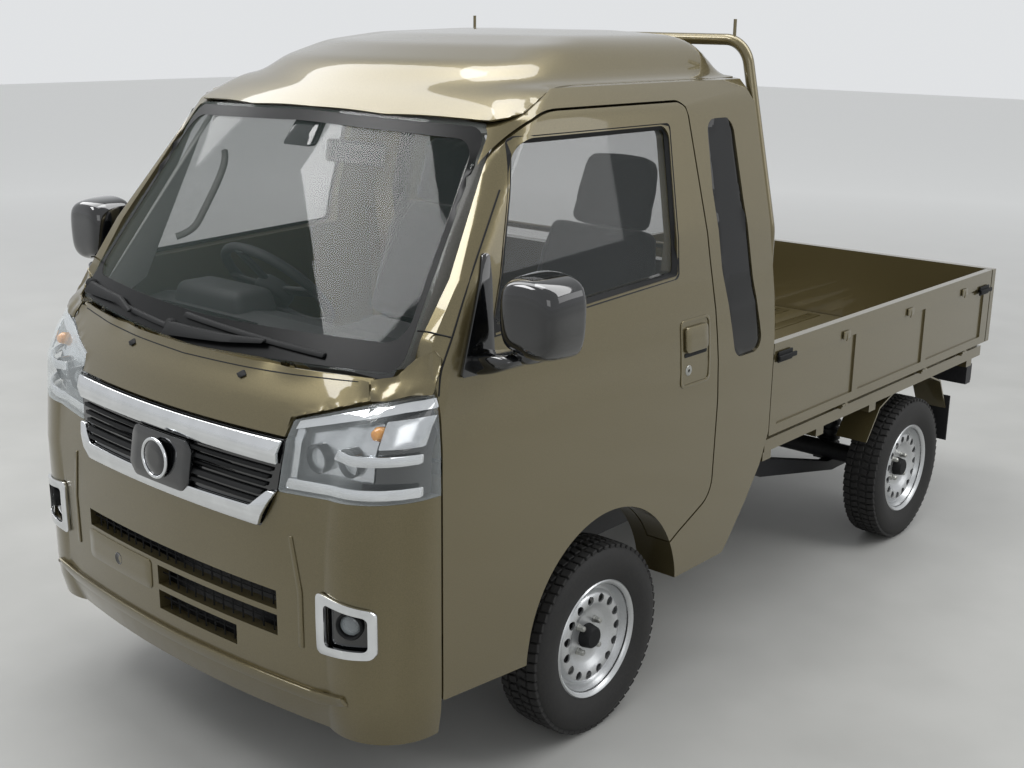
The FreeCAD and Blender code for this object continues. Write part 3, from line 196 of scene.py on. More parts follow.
# %% [markdown]
# Grained plastic scatters light from its pits, piano black has a clear gloss, and tyre rubber is a
# dusty near-black. Glass is a tinted sheet: clear when seen straight on, and a mirror at a glancing
# angle.

# %% Plastics, rubber and glass
black_plastic = surface("grained_black_plastic", "#0e0f10", "#161718", 2.2, 0.15, 0.6, 0.06,
                        Specular_IOR_Level=0.25)
gloss_black = surface("piano_black_plastic", "#08090a", "#0c0d0f", 60, 0.0, 0.08, 0.02,
                      Coat_Weight=1.0, Coat_Roughness=0.02)
dash_plastic = surface("moulded_dash_plastic", "#2a2b2c", "#353637", 2.5, 0.06, 0.65, 0.06)
pale_trim = surface("grey_headliner_board", "#8f8f8b", "#9d9d99", 3, 0.3, 0.85, 0.05)
seat_cloth = surface("woven_seat_cloth", "#232427", "#34353a", 2.4, 0.5, 0.9, 0.04, detail=1.0,
                     Sheen_Weight=0.4)
tyre_rubber = surface("tyre_rubber", "#161616", "#222120", 7, 0.3, 0.72, 0.08)
flap_rubber = surface("moulded_flap_rubber", "#111112", "#1b1b1c", 9, 0.3, 0.6, 0.08)
amber_plastic = surface("amber_bulb_glass", "#d98a1e", "#e9a234", 12, 0.1, 0.2, 0.03,
                        Coat_Weight=1.0)
red_lens = surface("moulded_red_lens", "#8c0f12", "#a3171a", 9, 0.5, 0.12, 0.03, Coat_Weight=1.0)
ceramic_band = surface("fired_ceramic_border", "#050607", "#08090a", 40, 0.0, 0.3, 0.02,
                       Specular_IOR_Level=0.2)
privacy_glass = surface("dark_privacy_glass", "#050607", "#08090a", 200, 0.0, 0.04, 0.01, IOR=1.45)


def glass(name, code, clear, glancing):
    """A tinted pane: its cover rises from one value seen straight on to another at a glance."""
    material = surface(name, code, code, 300, 0.0, 0.02, 0.0, IOR=1.9)
    tree = material.node_tree
    slant = add(tree, "LayerWeight", {"Blend": 0.35})
    cover = add(tree, "MapRange", {"To Min": clear, "To Max": glancing},
                Value=slant.outputs["Facing"])
    tree.links.new(cover.outputs["Result"], tree.nodes["Principled BSDF"].inputs["Alpha"])
    return material


screen_glass = glass("laminated_windscreen_glass", "#2a3a35", 0.03, 0.45)
window_glass = glass("tinted_safety_glass", "#141d1b", 0.15, 0.6)
lens_glass = glass("moulded_lens_glass", "#aeb6ba", 0.35, 0.9)
lamp_cover = glass("clear_polycarbonate_cover", "#dfe6e8", 0.06, 0.6)
PAINT = (lacquered_paint, "body_paint")
BLACK = (black_plastic, "black_plastic")
GLOSS = (gloss_black, "gloss_black")

# %% [markdown]
# Frame rails, floors and axles are right in shape as they are, so these solids only get a finish,
# in their first material slot.

# %% Finishes for the solids that stay
FINISH_OF_SLOT = {
    "body_paint": lacquered_paint, "glass": window_glass, "gloss_black": gloss_black,
    "grille_trim": gloss_black, "lamp_clear": lamp_cover, "lamp_red": red_lens,
    "black_plastic": black_plastic, "interior_dark": dash_plastic, "seat_cloth": seat_cloth,
    "cab_inner_paint": inner_paint, "chassis_black": chassis_paint, "cast_metal": engine_casting,
    "exhaust_steel": exhaust_pipe, "flap_rubber": flap_rubber, "tyre_rubber": tyre_rubber,
    "wheel_silver": wheel_paint,
}
for solid in NODES.values():
    solid.data.materials[0] = FINISH_OF_SLOT[solid.data.materials[0].name.split(".")[0]]
for node_name, finish in (("cab_windows", screen_glass), ("cab_floor", chassis_paint),
                          ("tail_lamps", black_plastic)):
    NODES[node_name].data.materials[0] = finish

# %% [markdown]
# Every modelled piece ends the same way: its place goes into its mesh, the angle between faces
# tells flat from round, and it is tied to the body that carries it.

# %% Modelling helpers
WELD = 2e-5


def clear():
    """Goes back to object mode with nothing selected."""
    if bpy.context.mode != "OBJECT":
        bpy.ops.object.mode_set(mode="OBJECT")
    bpy.ops.object.select_all(action="DESELECT")


def activate(piece):
    """Selects one piece only."""
    clear()
    piece.select_set(True)
    bpy.context.view_layer.objects.active = piece


def edit(piece):
    """Opens a piece in edit mode with everything selected."""
    activate(piece)
    bpy.ops.object.mode_set(mode="EDIT")
    bpy.ops.mesh.select_mode(type="VERT")
    bpy.ops.mesh.select_all(action="SELECT")


def modified(piece, kind, **settings):
    """Adds a modifier with its settings, and applies it."""
    modifier = piece.modifiers.new(kind.lower(), kind)
    for name, value in settings.items():
        setattr(modifier, name, value)
    activate(piece)
    bpy.ops.object.modifier_apply(modifier=modifier.name)
    return piece


def soft_edges(piece, radius, segments=2):
    """Rounds a piece's sharp edges, in millimetres."""
    return modified(piece, "BEVEL", width=radius * MM, segments=segments, limit_method="ANGLE",
                    angle_limit=math.radians(50))


def settle(piece, name, finish, slot, body="truck", angle=35):
    """Names a piece, bakes its place, smooths it, and gives it its finish, slot and body."""
    activate(piece)
    bpy.ops.object.transform_apply(location=True, rotation=True, scale=True)
    bpy.ops.object.shade_smooth_by_angle(angle=math.radians(angle))
    piece.name = name
    if finish:
        piece.data.materials.clear()
        piece.data.materials.append(finish)
    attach(piece, body)
    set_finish(piece, slot)
    return piece


def joined(pieces):
    """Several pieces made into one."""
    activate(pieces[0])
    for piece in pieces[1:]:
        piece.select_set(True)
    bpy.ops.object.join()
    return bpy.context.object


def copy_of(piece):
    """A copy with its own mesh."""
    twin = bpy.data.objects.new(piece.name, piece.data.copy())
    bpy.context.scene.collection.objects.link(twin)
    return twin


def mirror_of(piece):
    """A copy on the other side of the truck."""
    twin = copy_of(piece)
    twin.scale.x = -1
    activate(twin)
    bpy.ops.object.transform_apply(location=True, rotation=True, scale=True)
    edit(twin)
    bpy.ops.mesh.normals_make_consistent(inside=False)
    activate(twin)
    return twin


def other_side(piece):
    """The finished left piece's mirror image, on the body of the right side."""
    name = piece.name.replace("left", "right")
    body = body_of(piece)[0].replace("left", "right")
    return settle(mirror_of(piece), name, None, piece["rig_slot"], body)


def block(centre, size_mm, turn=(0, 0, 0)):
    """A cuboid, turned about its centre, with its place baked in."""
    clear()
    bpy.ops.mesh.primitive_cube_add(size=1, location=centre, scale=Vector(size_mm) * MM,
                                    rotation=turn)
    bpy.ops.object.transform_apply(location=True, rotation=True, scale=True)
    return bpy.context.object


def chain(places):
    """A line of corners through some places, open in edit mode with everything selected."""
    clear()
    bpy.ops.mesh.primitive_plane_add(size=0.001)
    piece = bpy.context.object
    edit(piece)
    bpy.ops.mesh.merge(type="CENTER")
    bpy.ops.transform.translate(value=places[0])
    for here, following in zip(places, places[1:]):
        bpy.ops.mesh.extrude_region_move(TRANSFORM_OT_translate={"value": following - here})
    bpy.ops.mesh.select_all(action="SELECT")
    return piece


# %% [markdown]
# The frame's panels are many small triangles with hard borders. A real panel is one skin, so a copy
# is welded and its normals are averaged by face size, which leaves hard lines only where the panel
# folds.

# %% Welded body panels
def welded(node, finish, slot, angle):
    """A smooth-shaded copy of a frame solid, which stands for it."""
    piece = copy_of(NODES[node])
    edit(piece)
    bpy.ops.mesh.remove_doubles(threshold=WELD)
    activate(piece)
    bpy.ops.mesh.customdata_custom_splitnormals_clear()
    settle(piece, f"{node}_skin", finish, slot, body_of(NODES[node])[0], angle)
    modified(piece, "WEIGHTED_NORMAL", keep_sharp=True)
    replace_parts(piece, node)


for node_name in ("cab_back", "hood", "front_bumper", "side_frame_left", "side_frame_right",
                  "door_left", "door_right", "tailgate", "gate_left", "gate_right", "guard_frame"):
    welded(node_name, *PAINT, 28)

# %% [markdown]
# Borders, bars, trim and thin lines of painted shade follow the cab's curved front. Each starts as
# a flat outline, is cut into strips so that it can bend, is pressed onto the panel behind it, and
# then gets its thickness.
# Outlines are drawn as a pattern maker would, from the front, the side or above.

# %% Outlines that are pressed onto a panel
CAB_PANELS = ("front_bumper", "front_grille", "headlamps", "hood", "fog_lamps", "side_frame_left",
              "side_frame_right", "door_left", "door_right", "door_glass_left", "door_glass_right",
              "cab_windows", "roof", "cab_back")
cab_form = joined([copy_of(NODES[name]) for name in CAB_PANELS])
cab_form.name = "press_form"
FORWARD, AXIS = Vector((0, -1, 0)), Vector((1, 0, 0))
OUTWARD_OF = {"x": FORWARD, "y": AXIS, "z": Vector((0, 0, 1))}
PRESS_AXIS = {"x": 1, "y": 0, "z": 2}                   # the way each view's outlines are pressed
START = {"x": spot(0, -1000, 0).y, "y": 0.8, "z": 2.1}  # where an outline waits, clear of the cab
REACH = {"x": 0.8, "y": 0.26, "z": 0.6}                 # how far behind that a panel may lie
MISSED = 25 * MM                                        # a larger step between neighbours is a slip
RIM_TURNS = 12
FEW_CORNERS = 40


def rect(left, foot, right, top):
    """A rectangle's corners."""
    return [(left, foot), (right, foot), (right, top), (left, top)]


def both(corners):
    """An outline's left half, joined to its mirror image."""
    return corners + [(-a, b) for a, b in reversed(corners) if a]


def flat_outline(corners, across="x"):
    """A face from (a, b) corners in millimetres, as seen from the front, the left side or above."""
    places = [spot(a, b, 0) if across == "z" else spot(a, 0, b) if across == "x" else spot(0, a, b)
              for a, b in corners]
    for place in places:
        place[PRESS_AXIS[across]] = START[across]
    piece = chain(places)
    bpy.ops.mesh.edge_face_add()
    return piece


def rounded(piece, radius):
    """Rounds an outline's corners, in millimetres."""
    edit(piece)
    bpy.ops.mesh.bevel(affect="VERTICES", offset=radius * MM, segments=5)
    return piece


def cut_strips(piece, step, across="x"):
    """Cuts an outline into small cells, so that it can bend."""
    edit(piece)
    corners = [piece.matrix_world @ Vector(c) for c in piece.bound_box]
    for axis in {0, 1, 2} - {PRESS_AXIS[across]}:
        low, high = min(c[axis] for c in corners), max(c[axis] for c in corners)
        normal = Vector((axis == 0, axis == 1, axis == 2))
        count = max(1, round((high - low) / (step * MM)))
        for i in range(1, count):
            bpy.ops.mesh.select_all(action="SELECT")
            bpy.ops.mesh.bisect(plane_co=normal * (low + (high - low) * i / count),
                                plane_no=normal)
    return piece


def calmed(piece, across):
    """Puts a corner that missed the panel, or fell into a gap, level with its neighbours."""
    axis = PRESS_AXIS[across]
    vertices = piece.data.vertices
    near = [[] for _ in vertices]
    for link in piece.data.edges:
        near[link.vertices[0]].append(link.vertices[1])
        near[link.vertices[1]].append(link.vertices[0])
    landed = {v.index for v in vertices if MM < abs(v.co[axis] - START[across]) < REACH[across]}
    waiting = {v.index for v in vertices} - landed
    while reached := {i for i in waiting if landed & set(near[i])}:
        for i in reached:
            held = landed & set(near[i])
            vertices[i].co[axis] = sum(vertices[j].co[axis] for j in held) / len(held)
        landed |= reached
        waiting -= reached
    for _ in range(6):
        for vertex, others in zip(vertices, near):
            levels = sorted(vertices[i].co[axis] for i in others)
            middle = levels[len(levels) // 2]
            if abs(vertex.co[axis] - middle) > MISSED:
                vertex.co[axis] = middle


def faired(piece, across):
    """Replaces an outline's depths by the smooth surface that lies closest to most of them."""
    axis, aside = PRESS_AXIS[across], 0 if across == "x" else 1
    spots = np.array([v.co[:] for v in piece.data.vertices])
    a, b = (spots[:, i] - spots[:, i].mean() for i in (aside, 2))
    depth = spots[:, axis]
    powers = [(i, j) for i in range(4) for j in range(4 - i)]
    if len(a) <= FEW_CORNERS:
        powers = [(0, 0), (1, 0), (0, 1), (1, 1), (2, 0)]
    terms = np.stack([a ** i * b ** j for i, j in powers], axis=1)
    keep = np.ones(len(a), bool)
    for _ in range(3):
        fit = np.linalg.lstsq(terms[keep], depth[keep], rcond=None)[0]
        off = np.abs(terms @ fit - depth)
        keep = off < max(2 * MM, np.percentile(off, 70))
    for vertex, level in zip(piece.data.vertices, terms @ fit):
        vertex.co[axis] = level


def relaxed(piece, across, turns):
    """Softens a pressed sheet's facets: first its rim along itself, then all that lies inside."""
    axis = PRESS_AXIS[across]
    vertices = piece.data.vertices
    uses = {}
    for face in piece.data.polygons:
        for key in face.edge_keys:
            uses[key] = uses.get(key, 0) + 1
    beside = {}
    for (a, b), count in uses.items():
        if count == 1:
            beside.setdefault(a, []).append(b)
            beside.setdefault(b, []).append(a)
    for _ in range(RIM_TURNS):
        level = {i: sum(vertices[j].co[axis] for j in others) / len(others)
                 for i, others in beside.items()}
        for i, value in level.items():
            vertices[i].co[axis] = (vertices[i].co[axis] + value) / 2
    inner = piece.vertex_groups.new(name="inner")
    inner.add([v.index for v in vertices if v.index not in beside], 1.0, "REPLACE")
    return modified(piece, "SMOOTH", factor=0.5, iterations=turns, vertex_group="inner")


def pressed(piece, on, offset, thickness, across="x", edge=0.0, fair=False):
    """Lays a cut outline on a panel at an offset, and gives it thickness, in millimetres."""
    front = across == "x"
    modified(piece, "SHRINKWRAP", target=on, wrap_method="PROJECT", use_project_x=across == "y",
             use_project_y=front, use_project_z=across == "z", use_negative_direction=not front,
             use_positive_direction=front)
    calmed(piece, across)
    if fair:
        faired(piece, across)
    edit(piece)
    bpy.ops.transform.translate(value=OUTWARD_OF[across] * offset * MM)
    bpy.ops.mesh.normals_make_consistent(inside=False)
    if thickness:
        outward = OUTWARD_OF[across] * thickness * MM
        bpy.ops.mesh.extrude_region_move(TRANSFORM_OT_translate={"value": outward})
        bpy.ops.mesh.select_all(action="SELECT")
        bpy.ops.mesh.normals_make_consistent(inside=False)
    activate(piece)
    if edge:
        soft_edges(piece, edge)
    return piece


def patch(name, corners, offset, thickness, finish, slot, body="truck", round_by=0.0, step=30,
          across="x", edge=0.0, fair=False, on=cab_form, hole=None, hole_round=0.0):
    """One finished patch, from its outline to its body; a smaller outline may be cut out of it."""
    piece = flat_outline(corners, across)
    if round_by:
        rounded(piece, round_by)
    cut_strips(piece, step, across)
    if hole:
        cutter = rounded(flat_outline(hole, across), hole_round)
        edit(cutter)
        depth = OUTWARD_OF[across] * -20 * MM
        bpy.ops.transform.translate(value=depth / -2)
        bpy.ops.mesh.extrude_region_move(TRANSFORM_OT_translate={"value": depth})
        bpy.ops.mesh.select_all(action="SELECT")
        bpy.ops.mesh.normals_make_consistent(inside=False)
        modified(piece, "BOOLEAN", object=cutter, operation="DIFFERENCE", solver="EXACT")
        bpy.data.objects.remove(cutter)
    pressed(piece, on, offset, thickness, across, edge, fair)
    return settle(piece, name, finish, slot, body)


# %% [markdown]
# The high roof is one deep pressing whose steps flow into each other. A fine sheet is pressed onto
# the frame's roof and relaxed, so that every step gets a soft radius while the border stays on the
# cab. A pale board follows it inside.

# %% Roof
ROOF_PLAN = [(0, -341), (250, -332), (430, -299), (560, -271), (588, -238), (599, -205),
             (577, -107), (544, 42), (544, 797)]
REAR_FOOT = 1717 * MM                                   # how far down the roof's back edge reaches
sheet = cut_strips(flat_outline(both(ROOF_PLAN), "z"), 15, "z")
pressed(sheet, NODES["roof"], 0, 0, "z")
relaxed(sheet, "z", 14)
board = copy_of(sheet)
board.location.z = -30 * MM
modified(board, "SOLIDIFY", thickness=6 * MM)
settle(board, "headliner", pale_trim, "cab_inner_paint", angle=60)
edit(sheet)
bpy.ops.mesh.select_all(action="DESELECT")
activate(sheet)
rear_line = spot(0, ROOF_PLAN[-1][1] - 1, 0).y
for vertex in sheet.data.vertices:
    vertex.select = vertex.co.y > rear_line
for link in sheet.data.edges:
    link.select = all(sheet.data.vertices[i].select for i in link.vertices)
bpy.ops.object.mode_set(mode="EDIT")
bpy.ops.mesh.select_mode(type="EDGE")
bpy.ops.mesh.extrude_region_move()
bpy.ops.transform.resize(value=(1, 1, 0), center_override=(0, 0, REAR_FOOT))
activate(sheet)
modified(sheet, "SOLIDIFY", thickness=4 * MM, offset=-1)
settle(sheet, "roof_skin", *PAINT, angle=50)
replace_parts(sheet, "roof")

# %% [markdown]
# A black ceramic border is fired onto the windscreen's edge to hide the glue, wide along the bottom
# and narrow elsewhere. The rear quarter panes are very dark privacy glass: a thin plate over each
# solid pane follows its tall, leaning outline.

# %% Windscreen border and dark quarter windows
GLASS_OUTLINE = both([(0, 1102), (636, 1126), (553, 1635), (0, 1650)])
CLEAR_OUTLINE = both([(0, 1168), (612, 1182), (541, 1607), (0, 1624)])
QUARTER = [(582, 947), (734, 947), (687, 1161), (672, 1389), (670, 1619), (537, 1619), (519, 1430),
           (526, 1210)]
patch("windscreen_border", GLASS_OUTLINE, 0.5, 0.4, ceramic_band, "gloss_black", round_by=40,
      step=20, on=NODES["cab_windows"], hole=CLEAR_OUTLINE, hole_round=50)
other_side(patch("quarter_pane_left", QUARTER, 0.4, 1.0, privacy_glass, "glass", round_by=40,
                 step=25, across="y", edge=0.4, on=NODES["cab_windows"]))

# %% [markdown]
# The black grille has slim louvres between two chrome bars with rolled edges: the upper one is
# straight, the lower one a shallow V. A plain shield with a ring stands in the middle.

# %% Grille bars and louvres
patch("grille_upper_bar", both([(0, 906), (404, 902), (415, 960), (0, 960)]), 2, 9, chrome_plate,
      "grille_trim", round_by=4, edge=2.5, fair=True)
patch("grille_lower_bar",
      both([(0, 748), (352, 748), (403, 838), (378, 838), (332, 796), (0, 790)]), 2, 10,
      chrome_plate, "grille_trim", round_by=5, edge=3, fair=True)
louvres = []
for row in range(5):
    height, half = 806 + 19 * row, 352 + 8 * row
    bar = both([(0, height), (half, height), (half + 3, height + 9), (0, height + 9)])
    louvres.append(patch("louvre", bar, 1, 7, black_plastic, "grille_trim", edge=1.5))
settle(joined(louvres), "grille_louvres", black_plastic, "grille_trim")
patch("grille_shield", both([(0, 772), (96, 772), (122, 800), (122, 876), (104, 900), (0, 900)]),
      4, 12, gloss_black, "grille_trim", round_by=8, edge=3, fair=True)
clear()
bpy.ops.mesh.primitive_torus_add(location=spot(0, -874, 838), rotation=(math.radians(88), 0, 0),
                                 major_radius=48 * MM, minor_radius=4.5 * MM, major_segments=64,
                                 minor_segments=12)
settle(bpy.context.object, "shield_ring", chrome_plate, "grille_trim")


# %% [markdown]
# A headlamp is a clear cover over a dark bowl with chrome blades, two small projector lenses and an
# amber signal bulb. Blades are pressed onto the cover's form and set back to their own depth; round
# parts are profiles spun about an axis.

# %% Headlamps
def turned(profile, centre, axis, steps):
    """A skin spun from (along, radius) corners in millimetres about an axis through a centre."""
    aside = Vector((0, 0, 1)) if abs(axis.z) < 0.5 else AXIS
    piece = chain([centre + axis * a * MM + aside * r * MM for a, r in profile])
    bpy.ops.mesh.spin(steps=steps, angle=math.tau, center=centre, axis=axis)
    bpy.ops.mesh.select_all(action="SELECT")
    bpy.ops.mesh.remove_doubles(threshold=WELD)
    bpy.ops.mesh.normals_make_consistent(inside=False)
    activate(piece)
    return piece


welded("headlamps", lamp_cover, "lamp_clear", 30)
LAMP_PARTS = (                       # name, outline, depth, thickness, finish and radii
    ("bowl", [(410, 845), (726, 868), (726, 1088), (690, 1078), (602, 1053), (434, 1002)],
     -46, 1.5, gloss_black, 8, 0),
    ("eyebrow", [(428, 984), (600, 1030), (690, 1056), (726, 1062), (726, 1084), (690, 1077),
                 (602, 1052), (434, 1003)], -16, 5, chrome_plate, 3, 1),
    ("inner_blade", [(411, 848), (438, 850), (452, 982), (434, 1000)], -22, 5, satin_chrome, 3, 1),
    ("middle_blade", [(548, 938), (600, 934), (728, 946), (728, 968), (600, 958), (556, 960)],
     -14, 5, chrome_plate, 3, 1),
    ("lower_blade", [(412, 846), (728, 869), (728, 893), (560, 880), (424, 872)],
     -14, 5, chrome_plate, 3, 1),
    ("quarter", [(662, 978), (728, 984), (728, 1048), (662, 1036)], -12, 4, satin_chrome, 3, 1),
    ("reflector", [(456, 884), (640, 892), (640, 1024), (600, 1018), (456, 974)],
     -40, 2, satin_chrome, 6, 1),
)
for name, corners, offset, thickness, finish, radius, edge in LAMP_PARTS:
    other_side(patch(f"lamp_{name}_left", corners, offset, thickness, finish, "lamp_clear",
                     round_by=radius, step=22, edge=edge))
projectors = []
for name, profile, finish in (
        ("rings", [(-20, 34), (14, 34), (16, 31), (6, 29), (-18, 26)], gloss_black),
        ("domes", [(-4, 28), (4, 24), (10, 17), (13, 9), (14, 0.01)], lamp_cover)):
    lenses = [turned(profile, centre, FORWARD, 32)
              for centre in (spot(492, -765, 926), spot(584, -752, 934))]
    projectors.append(settle(joined(lenses), f"projector_{name}_left", finish, "lamp_clear"))
for piece in projectors:
    other_side(piece)
bulb = turned([(-16, 9), (-6, 16), (10, 17), (22, 11), (27, 0.01)], spot(640, -716, 1004), FORWARD,
              24)
other_side(settle(bulb, "signal_bulb_left", amber_plastic, "lamp_clear"))

# %% [markdown]
# Each fog lamp is a small glass dome in a black ring, in a dark pocket behind a square chrome bezel
# with thick, rounded sides. It is turned outwards with the corner.

# %% Fog lamps
welded("fog_lamps", gloss_black, "lamp_clear", 30)
FOG_OUTER = [(526, 478), (678, 494), (678, 612), (526, 630)]
FOG_INNER = [(552, 502), (664, 512), (664, 594), (552, 606)]
FOG_AIM = Vector((0.42, -0.907, 0)).normalized()
other_side(patch("fog_bezel_left", FOG_OUTER, 2, 8, chrome_plate, "lamp_clear", round_by=16,
                 step=14, edge=2.5, fair=True, on=NODES["front_bumper"], hole=FOG_INNER,
                 hole_round=12))
for name, profile, finish in (
        ("ring", [(-14, 33), (6, 33), (9, 30), (6, 26), (-6, 24)], black_plastic),
        ("glass", [(-4, 26), (1, 22), (5, 14), (7, 6), (7.5, 0.01)], lens_glass)):
    other_side(settle(turned(profile, spot(616, -800, 566), FOG_AIM, 40), f"fog_{name}_left",
                      finish, "lamp_clear"))

# %% [markdown]
# Air for the radiator passes three slots under the plate. Behind them stands a grille of thin black
# ribs: a sheet is divided into cells, and a Wireframe modifier leaves only their borders.

# %% Egg-crate grilles behind the bumper's slots
crates = []
crate_face = spot(0, -790, 0).y
for low_x, low_z, high_x, high_z in ((-392, 545, 393, 592), (-60, 478, 393, 530),
                                     (-60, 410, 250, 462)):
    crate = cut_strips(flat_outline(rect(low_x - 8, low_z - 6, high_x + 8, high_z + 6)), 36)
    pressed(crate, cab_form, -16, 0)
    for vertex in crate.data.vertices:
        vertex.co.y = min(vertex.co.y, crate_face)
    crates.append(modified(crate, "WIREFRAME", thickness=5 * MM, offset=0, use_even_offset=False))
settle(joined(crates), "bumper_slot_grilles", black_plastic, "grille_trim")
patch("radiator_dark", rect(-420, 360, 420, 620), -60, 2, chassis_paint, "grille_trim",
      round_by=10)

# %% [markdown]
# The bumper's skin has a lip along its foot, a fold beside each fog lamp, and a raised pad for the
# plate, with a capped hole for the towing eye.

# %% Bumper folds and plate pad
patch("bumper_lip", both([(0, 338), (520, 342), (612, 362), (600, 384), (500, 372), (0, 368)]),
      -2, 13, *PAINT, round_by=6, edge=5, fair=True)
FOLD = [(440, 742), (452, 742), (478, 610), (478, 470), (462, 470), (464, 606)]
for side in (-1, 1):
    patch(f"bumper_fold_{side + 1}", [(side * x, z) for x, z in FOLD], -1, 4.5, *PAINT, round_by=3,
          edge=2.5)
patch("plate_pad", rect(-402, 452, -88, 534), -1, 4, *PAINT, round_by=14, edge=2.5, fair=True)
eye_cap = turned([(0, 17), (4, 17), (5, 15), (4, 13), (3.5, 0.01)], spot(-245, -839, 492), FORWARD,
                 32)
settle(eye_cap, "tow_eye_cap", gloss_black, "black_plastic")
disc = turned([(-8, 43), (0, 43), (3, 38), (4.5, 20), (5, 0.01)], spot(0, -872, 838),
              Vector((0, -1, 0.035)).normalized(), 48)
settle(disc, "shield_disc", gloss_black, "grille_trim")

# %% [markdown]
# The hood is one soft sheet, made like the roof. A slim dark line along the pressed crease under
# the glass is painted shade for the crease, and two washer nozzles stand beside it.

# %% Hood sheet, painted crease shade and washer nozzles
HOOD_FACE = [(0, 970), (412, 970), (420, 1012), (594, 1070), (579, 1105), (0, 1105)]
PAINTED_CREASE_SHADE = [(0, 1083), (300, 1088), (500, 1097), (548, 1100), (548, 1102), (500, 1099.2),
          (300, 1090.4), (0, 1085.4)]
NOZZLE = [(-16, 1072), (0, 1064), (16, 1072), (0, 1082)]
hood_sheet = cut_strips(flat_outline(both(HOOD_FACE)), 14)
pressed(hood_sheet, NODES["hood"], 1.2, 0)
relaxed(hood_sheet, "x", 10)
settle(hood_sheet, "hood_sheet", *PAINT, "hood", 60)
# The dark line is painted shade along the crease, not a part of its own.
patch("hood_crease_painted_shade", both(PAINTED_CREASE_SHADE), 0.2, 0.4, black_plastic, "body_paint", "hood", step=18,
      on=hood_sheet)
nozzles = [patch("nozzle", [(side * 224 + x, z) for x, z in NOZZLE], 0, 7, *BLACK, "hood",
                 round_by=3, edge=2) for side in (-1, 1)]
settle(joined(nozzles), "washer_nozzles", *BLACK, "hood")

# %% [markdown]
# A wiper is a cast arm that tapers away from its pivot, and a thin blade along the foot of the
# glass. The arm stands some ten millimetres off the glass.

# %% Wipers
WIPERS = (                           # pivot, elbow, then the blade's two ends and its height
    ((-600, 1150), (-380, 1150), -560, -120, 1128),
    ((-110, 1126), (120, 1136), -70, 430, 1140),
)
wiper_parts = []
for (px, pz), (ex, ez), start, end, height in WIPERS:
    arm = [(px, pz - 14), (ex, ez - 8), (end - 180, height + 3), (end - 180, height + 11),
           (ex, ez + 8), (px, pz + 14)]
    blade = [(start, height + 16), (end, height - 5), (end, height + 4), (start, height + 26)]
    wiper_parts.append(patch("arm", arm, 9, 11, *BLACK, round_by=4, edge=3, step=25))
    wiper_parts.append(patch("blade", blade, 1.5, 9, *BLACK, round_by=2, edge=1.5, step=25))
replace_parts(settle(joined(wiper_parts), "wiper_set", *BLACK), "wipers")
WIPER_AXIS = Vector((0, -0.8, 0.6))
pivots = [turned([(-6, 17), (20, 15), (27, 11), (29, 0.01)],
                 spot(px, -735 + abs(px) / 6, pz - 4), WIPER_AXIS, 28)
          for (px, pz), *_ in WIPERS]
settle(joined(pivots), "wiper_pivots", *BLACK)

# %% [markdown]
# A twelve-inch steel wheel is a rolled rim with a pressed disc inside. Its profile is spun about
# the axle, and fifteen round vents are cut in the disc.

# %% Wheels
RIM = [(-58, 158), (-57, 166), (-50, 163), (-48, 154), (-30, 151), (-18, 134), (8, 134), (20, 151),
       (48, 154), (50, 163), (57, 166), (60, 163), (57, 157), (52, 153), (46, 150), (28, 146),
       (22, 140), (24, 133), (36, 127), (41, 120), (42, 110), (41, 100), (36, 90), (26, 80),
       (22, 72), (20, 60), (20, 34), (14, 33), (14, 62), (16, 74), (20, 83), (31, 93), (36, 101),
       (37, 110), (36, 119), (31, 123), (18, 131), (10, 126), (-20, 126), (-32, 143), (-50, 147),
       (-58, 158)]
CAP = [(14, 34), (24, 34), (46, 30), (50, 26), (51, 0.01)]
NUT = [(18, 11), (24, 11), (25, 9.5), (38, 9), (42, 6), (43, 0.01)]
VENTS, VENT_CIRCLE, VENT_RADIUS, VENT_DEPTH = 15, 0.110, 0.0125, 0.03
NUTS, NUT_CIRCLE = 4, 0.05


def around(centre, radius, count, shift, x=0.0):
    """Places on a circle about the axle, in metres, shifted by part of a step."""
    turns = [math.tau * (i + shift) / count for i in range(count)]
    return [centre + Vector((x, radius * math.cos(t), radius * math.sin(t))) for t in turns]


def steel_wheel(centre):
    """The rim and its disc, with the vents cut, round one wheel's centre."""
    wheel = turned(RIM, centre, AXIS, 96)
    cutters = []
    for place in around(centre, VENT_CIRCLE, VENTS, 0, VENT_DEPTH):
        clear()
        bpy.ops.mesh.primitive_cylinder_add(vertices=24, radius=VENT_RADIUS, depth=0.05,
                                            location=place, rotation=(0, math.pi / 2, 0))
        cutters.append(bpy.context.object)
    tool = joined(cutters)
    modified(wheel, "BOOLEAN", object=tool, solver="EXACT")
    bpy.data.objects.remove(tool)
    return wheel


# %% [markdown]
# The tyre's carcass is spun as well. Its tread is a ring of small rubber blocks in four rows: one
# pitch is modelled and then spun as duplicates. All parts are modelled once, and each wheel gets
# its own copy.

# %% Tyres
CARCASS = [(-50, 152), (-54, 160), (-60, 172), (-70, 196), (-72.5, 216), (-70, 238), (-63, 252),
           (-54, 259), (-28, 261), (0, 261.5), (28, 261), (54, 259), (63, 252), (70, 238),
           (72.5, 216), (70, 196), (60, 172), (54, 160), (50, 152), (46, 150), (-46, 150),
           (-50, 152)]
PITCHES = 62
TREAD_LEVEL = 262
BLOCKS = (                           # place across the tread, width, length, slope and twist
    (-47, 26, 22, 6, 8), (-16, 24, 18, 0, -12), (16, 24, 18, 0, 12), (47, 26, 22, 6, -8))


